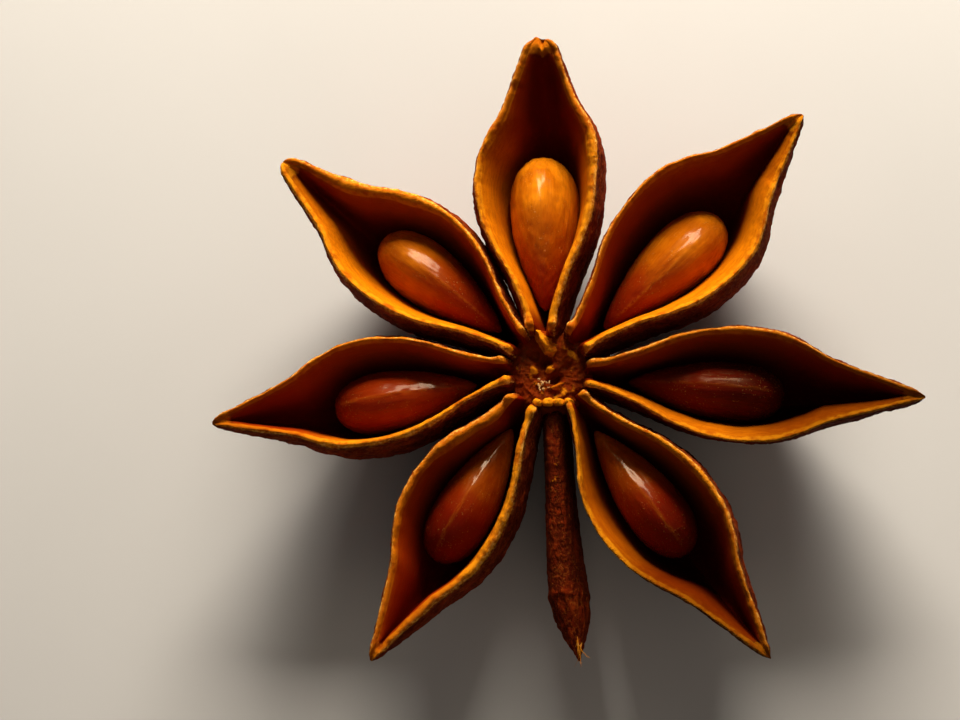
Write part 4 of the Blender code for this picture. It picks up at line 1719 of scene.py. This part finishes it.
@dataclass
class StarAnise:
    """The whole pod and its finishes."""

    # Painted light and shade in these settings: tone, wall shade and tip shade darken what lies in
    # shade, the e and se carpels most.
    carpels: tuple[OpenCarpel, ...] = (
        OpenCarpel(
            "n", azimuth=90.7, length=16.05, root_shift=0.34, tip_half=0.62, lift=0.10,
            tone=0.2, seed=11, closed=0.975, blunt=0.55,
            lobes=((0.20, 0.20, 0.08), (-0.05, 0.11, -0.34), (-0.28, 0.14, -0.06)),
            left=Side(3.30, 0.57, RimStyle.PATCHED, lean=0.70, knob=0.7, painted_shade=0.10),
            right=Side(2.57, 0.62, RimStyle.BROAD, lean=0.50, knob=0.9, painted_shade=0.12)),
        OpenCarpel(
            "ne", azimuth=44.0, length=17.02, root_shift=-0.08, tip_half=0.16, lift=0.15,
            tone=0.0, seed=12, dark_from=0.62, blunt=0.30,
            left=Side(3.07, 0.54, RimStyle.THIN, lean=0.55, knob=1.6, painted_shade=0.90),
            right=Side(3.18, 0.55, RimStyle.THIN, lean=1.10, knob=0.8, tip_painted_shade=0.40)),
        OpenCarpel(
            "e", azimuth=-5.8, length=17.68, root_shift=-0.12, tip_half=0.14, lift=-0.05,
            tone=-1.0, seed=13, dark_from=0.42,
            left=Side(2.70, 0.52, RimStyle.EVEN, lean=0.45, knob=0.7, painted_shade=0.90,
                      tip_shade=0.3),
            right=Side(2.74, 0.52, RimStyle.THIN, lean=1.00, knob=0.9, painted_shade=0.30,
                       tip_painted_shade=0.62, tip_shade=1.4, tuck=0.55)),
        OpenCarpel(
            "se", azimuth=-53.3, length=17.16, root_shift=0.12, tip_half=0.10, lift=0.05,
            tone=-0.8, seed=14, dark_from=0.42,
            left=Side(2.78, 0.51, RimStyle.EVEN, lean=0.45, knob=1.3, painted_shade=0.70,
                      tip_painted_shade=0.90, tip_shade=0.3),
            right=Side(2.84, 0.47, RimStyle.THIN, lean=0.75, knob=0.6, painted_shade=0.50,
                       tip_painted_shade=0.84, tip_shade=1.8, pinch=0.42, tuck=0.55)),
        OpenCarpel(
            "sw", azimuth=-121.2, length=16.03, root_shift=-0.24, tip_half=0.10, lift=-0.10,
            tone=-0.2, seed=15, dark_from=0.50,
            left=Side(2.14, 0.53, RimStyle.BROAD, lean=0.35, knob=0.6, painted_shade=0.30, pinch=-0.20),
            right=Side(2.93, 0.47, RimStyle.WIDE_ROOT, lean=0.55, knob=1.2, painted_shade=0.92)),
        OpenCarpel(
            "w", azimuth=-171.5, length=16.21, root_shift=-0.26, tip_half=0.14, lift=-0.05,
            tone=0.0, seed=16,
            left=Side(2.24, 0.54, RimStyle.EVEN, lean=0.35, knob=1.2, painted_shade=0.30),
            right=Side(2.86, 0.52, RimStyle.THIN, lean=0.55, knob=1.3, painted_shade=0.90)),
        OpenCarpel(
            "nw", azimuth=141.1, length=16.41, root_shift=-0.10, tip_half=0.34, lift=0.05,
            tone=0.4, seed=17, dark_from=0.62, blunt=0.35,
            left=Side(2.62, 0.57, RimStyle.THIN, lean=0.80, knob=1.0, tip_painted_shade=0.35),
            right=Side(2.94, 0.51, RimStyle.WIDE_TIP, lean=0.45, knob=1.1, painted_shade=0.85)),
    )
    # These ripeness values also paint each seed's light and shade; the e seed, in shade, is
    # darkest.
    seeds: tuple[Seed, ...] = (
        Seed("n", azimuth=90.7, reach=7.02, shift=0.24, half=(3.85, 1.66, 2.35), seed=31,
             ripe_and_light=(0.42, 0.80, 1.0), crest=0.05, roll=-6.0, flute=0.034),
        Seed("ne", azimuth=44.0, reach=7.28, shift=-0.14, half=(3.90, 1.58, 2.30), seed=32,
             ripe_and_light=(0.26, 0.72, 0.92), crest=0.50, roll=12.0),
        Seed("e", azimuth=-5.8, reach=7.40, shift=0.00, half=(3.75, 1.42, 2.10), seed=33,
             ripe_and_light=(0.20, 0.15, 0.03), crest=0.15),
        Seed("se", azimuth=-53.3, reach=7.05, shift=0.02, half=(3.65, 1.45, 2.15), seed=34,
             ripe_and_light=(0.76, 0.60, 0.22), crest=0.40),
        Seed("sw", azimuth=-121.2, reach=6.80, shift=-0.32, half=(3.65, 1.44, 2.15), seed=35,
             ripe_and_light=(0.78, 0.62, 0.24), crest=0.35),
        Seed("w", azimuth=-171.5, reach=7.15, shift=-0.15, half=(3.55, 1.46, 2.15), seed=36,
             ripe_and_light=(0.56, 0.52, 0.45), crest=0.30),
        Seed("nw", azimuth=141.1, reach=7.05, shift=-0.20, half=(3.80, 1.54, 2.30), seed=37,
             ripe_and_light=(0.28, 0.62, 0.90), crest=0.35),
    )
    shut: ShutCarpel = field(default_factory=ShutCarpel)
    column: Column = field(default_factory=Column)
    bar: InnerBar = field(default_factory=InnerBar)
    crumbs: Crumbs = field(default_factory=Crumbs)
    fibres: LooseFibres = field(default_factory=LooseFibres)

    def build(self) -> list[bpy.types.Object]:
        """Build, dress and place every piece.

        Returns:
            The pieces, in the order they were made.
        """
        effects = Effects.build()
        wood = WoodFinish().build(effects)
        coat = SeedFinish().build(effects)
        husk = [("carpel_" + c.name, [c.build()]) for c in self.carpels]
        husk.append(("carpel_shut", [self.shut.build()]))
        husk.append(("column", [self.column.build()]))
        husk.append(("inner_bar", [self.bar.build()]))
        husk.append(("pith_crumbs", self.crumbs.build()))
        husk.append(("loose_fibres", self.fibres.build()))
        made = [self._place(name, sheets, wood, "husk") for name, sheets in husk]
        for seed in self.seeds:
            made.append(self._place("anise_seed_" + seed.name, [seed.build()], coat,
                                    "seed_" + seed.name))
        return made

    def _place(self, name: str, sheets: list[Sheet], finish: bpy.types.Material,
               node: str) -> bpy.types.Object:
        """Make one piece, dress it and put it in place of its solid.

        Args:
            name: the piece's name.
            sheets: its closed surfaces.
            finish: its material.
            node: the solid that it replaces.

        Returns:
            The piece.
        """
        made = make_mesh(name, sheets)
        made.data.materials.append(finish)
        return fit_in(made, node)


# ---------------------------------------------------------------- the studio


@dataclass(frozen=True)
class Lamp:
    """A square soft light aimed at the pod.

    `place` and `size`, its side, are in millimetres and `power` is in watts. `glossy` says
    whether highlights show it, and `diffuse` whether it lights the rest.
    """

    name: str
    place: tuple[float, float, float]
    size: float
    power: float
    colour: Colour
    glossy: bool = True
    diffuse: bool = True


@dataclass
class Studio:
    """Pale floor, soft light from the far side and a camera that looks steeply down."""

    lamps: tuple[Lamp, ...] = (
        Lamp("key_light", (11.0, 140.0, 67.0), 80.0, 0.60, (1.0, 0.91, 0.78), glossy=False),
        Lamp("glint_light", (20.0, 145.0, 160.0), 115.0, 0.95, (1.0, 0.85, 0.60),
             diffuse=False),
        Lamp("fill_light", (90.0, -120.0, 170.0), 240.0, 0.050, (1.0, 0.82, 0.66),
             glossy=False),
    )
    floor_half: float = 0.6
    floor_colour: Colour = (0.66, 0.65, 0.64)
    floor_dim: float = 0.96
    floor_mottle: float = 40.0
    floor_roughness: float = 0.9
    world_colour: Colour = (1.0, 0.93, 0.85)
    world_strength: float = 0.065
    lens: float = 100.0
    sensor: float = 36.0
    frame_width: float = 45.6
    tilt: float = 12.0
    tilt_azimuth: float = -55.0
    aim: tuple[float, float, float] = (-3.23, 0.5, 7.0)

    def build(self) -> None:
        """Set up floor, world, lights and camera."""
        self._floor()
        self._world()
        for lamp in self.lamps:
            self._hang(lamp)
        self._camera()
        bpy.context.scene.view_settings.view_transform = "Standard"

    def _floor(self) -> None:
        """A plain pale square at the resting plane."""
        h = self.floor_half
        mesh = bpy.data.meshes.new("floor")
        mesh.from_pydata([(-h, -h, 0), (h, -h, 0), (h, h, 0), (-h, h, 0)], [], [(0, 1, 2, 3)])
        floor = bpy.data.objects.new("floor", mesh)
        bpy.context.scene.collection.objects.link(floor)
        made, tree, shader = principled("floor_paper")
        place = tree.add("ShaderNodeTexCoord").outputs["Object"]
        tone = tree.remap(tree.noise(place, self.floor_mottle), 0.3, 0.7)
        darker = tuple(self.floor_dim * part for part in self.floor_colour)
        tree.feed(shader.inputs["Base Color"], tree.mix(tone, darker, self.floor_colour))
        shader.inputs["Roughness"].default_value = self.floor_roughness
        mesh.materials.append(made)

    def _world(self) -> None:
        """Even, faintly warm surroundings."""
        world = bpy.data.worlds.new("studio")
        world.use_nodes = True
        back = world.node_tree.nodes["Background"]
        back.inputs["Color"].default_value = (*self.world_colour, 1.0)
        back.inputs["Strength"].default_value = self.world_strength
        bpy.context.scene.world = world

    def _hang(self, lamp: Lamp) -> None:
        """Hang one light and aim it at the pod.

        Args:
            lamp: the light.
        """
        data = bpy.data.lights.new(lamp.name, "AREA")
        data.size = lamp.size * MM
        data.energy = lamp.power
        data.color = lamp.colour
        made = bpy.data.objects.new(lamp.name, data)
        spot = Vector(lamp.place) * MM
        made.location = spot
        made.rotation_euler = (-spot).to_track_quat("-Z", "Y").to_euler()
        made.visible_glossy = lamp.glossy
        made.visible_diffuse = lamp.diffuse
        bpy.context.scene.collection.objects.link(made)

    def _camera(self) -> None:
        """A long lens above the pod, leaning towards the shut carpel's side."""
        lean, side = np.radians(self.tilt), np.radians(self.tilt_azimuth)
        back = Vector((np.sin(lean) * np.cos(side), np.sin(lean) * np.sin(side), np.cos(lean)))
        right = Vector((0.0, 1.0, 0.0)).cross(back).normalized()
        up = back.cross(right)
        distance = self.frame_width / self.sensor * self.lens
        place = (Vector(self.aim) + back * distance) * MM
        data = bpy.data.cameras.new("camera")
        data.lens = self.lens
        data.sensor_width = self.sensor
        data.clip_start = 0.005
        data.clip_end = 10.0
        camera = bpy.data.objects.new("camera", data)
        turned = Matrix((right, up, back)).transposed().to_4x4()
        camera.matrix_world = Matrix.Translation(place) @ turned
        bpy.context.scene.collection.objects.link(camera)
        bpy.context.scene.camera = camera


def main() -> None:
    logging.basicConfig(level=logging.INFO, format="%(message)s")
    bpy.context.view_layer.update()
    Studio().build()
    for piece in StarAnise().build():
        log.info("%s: %d faces", piece.name, len(piece.data.polygons))


if __name__ == "__main__":
    main()
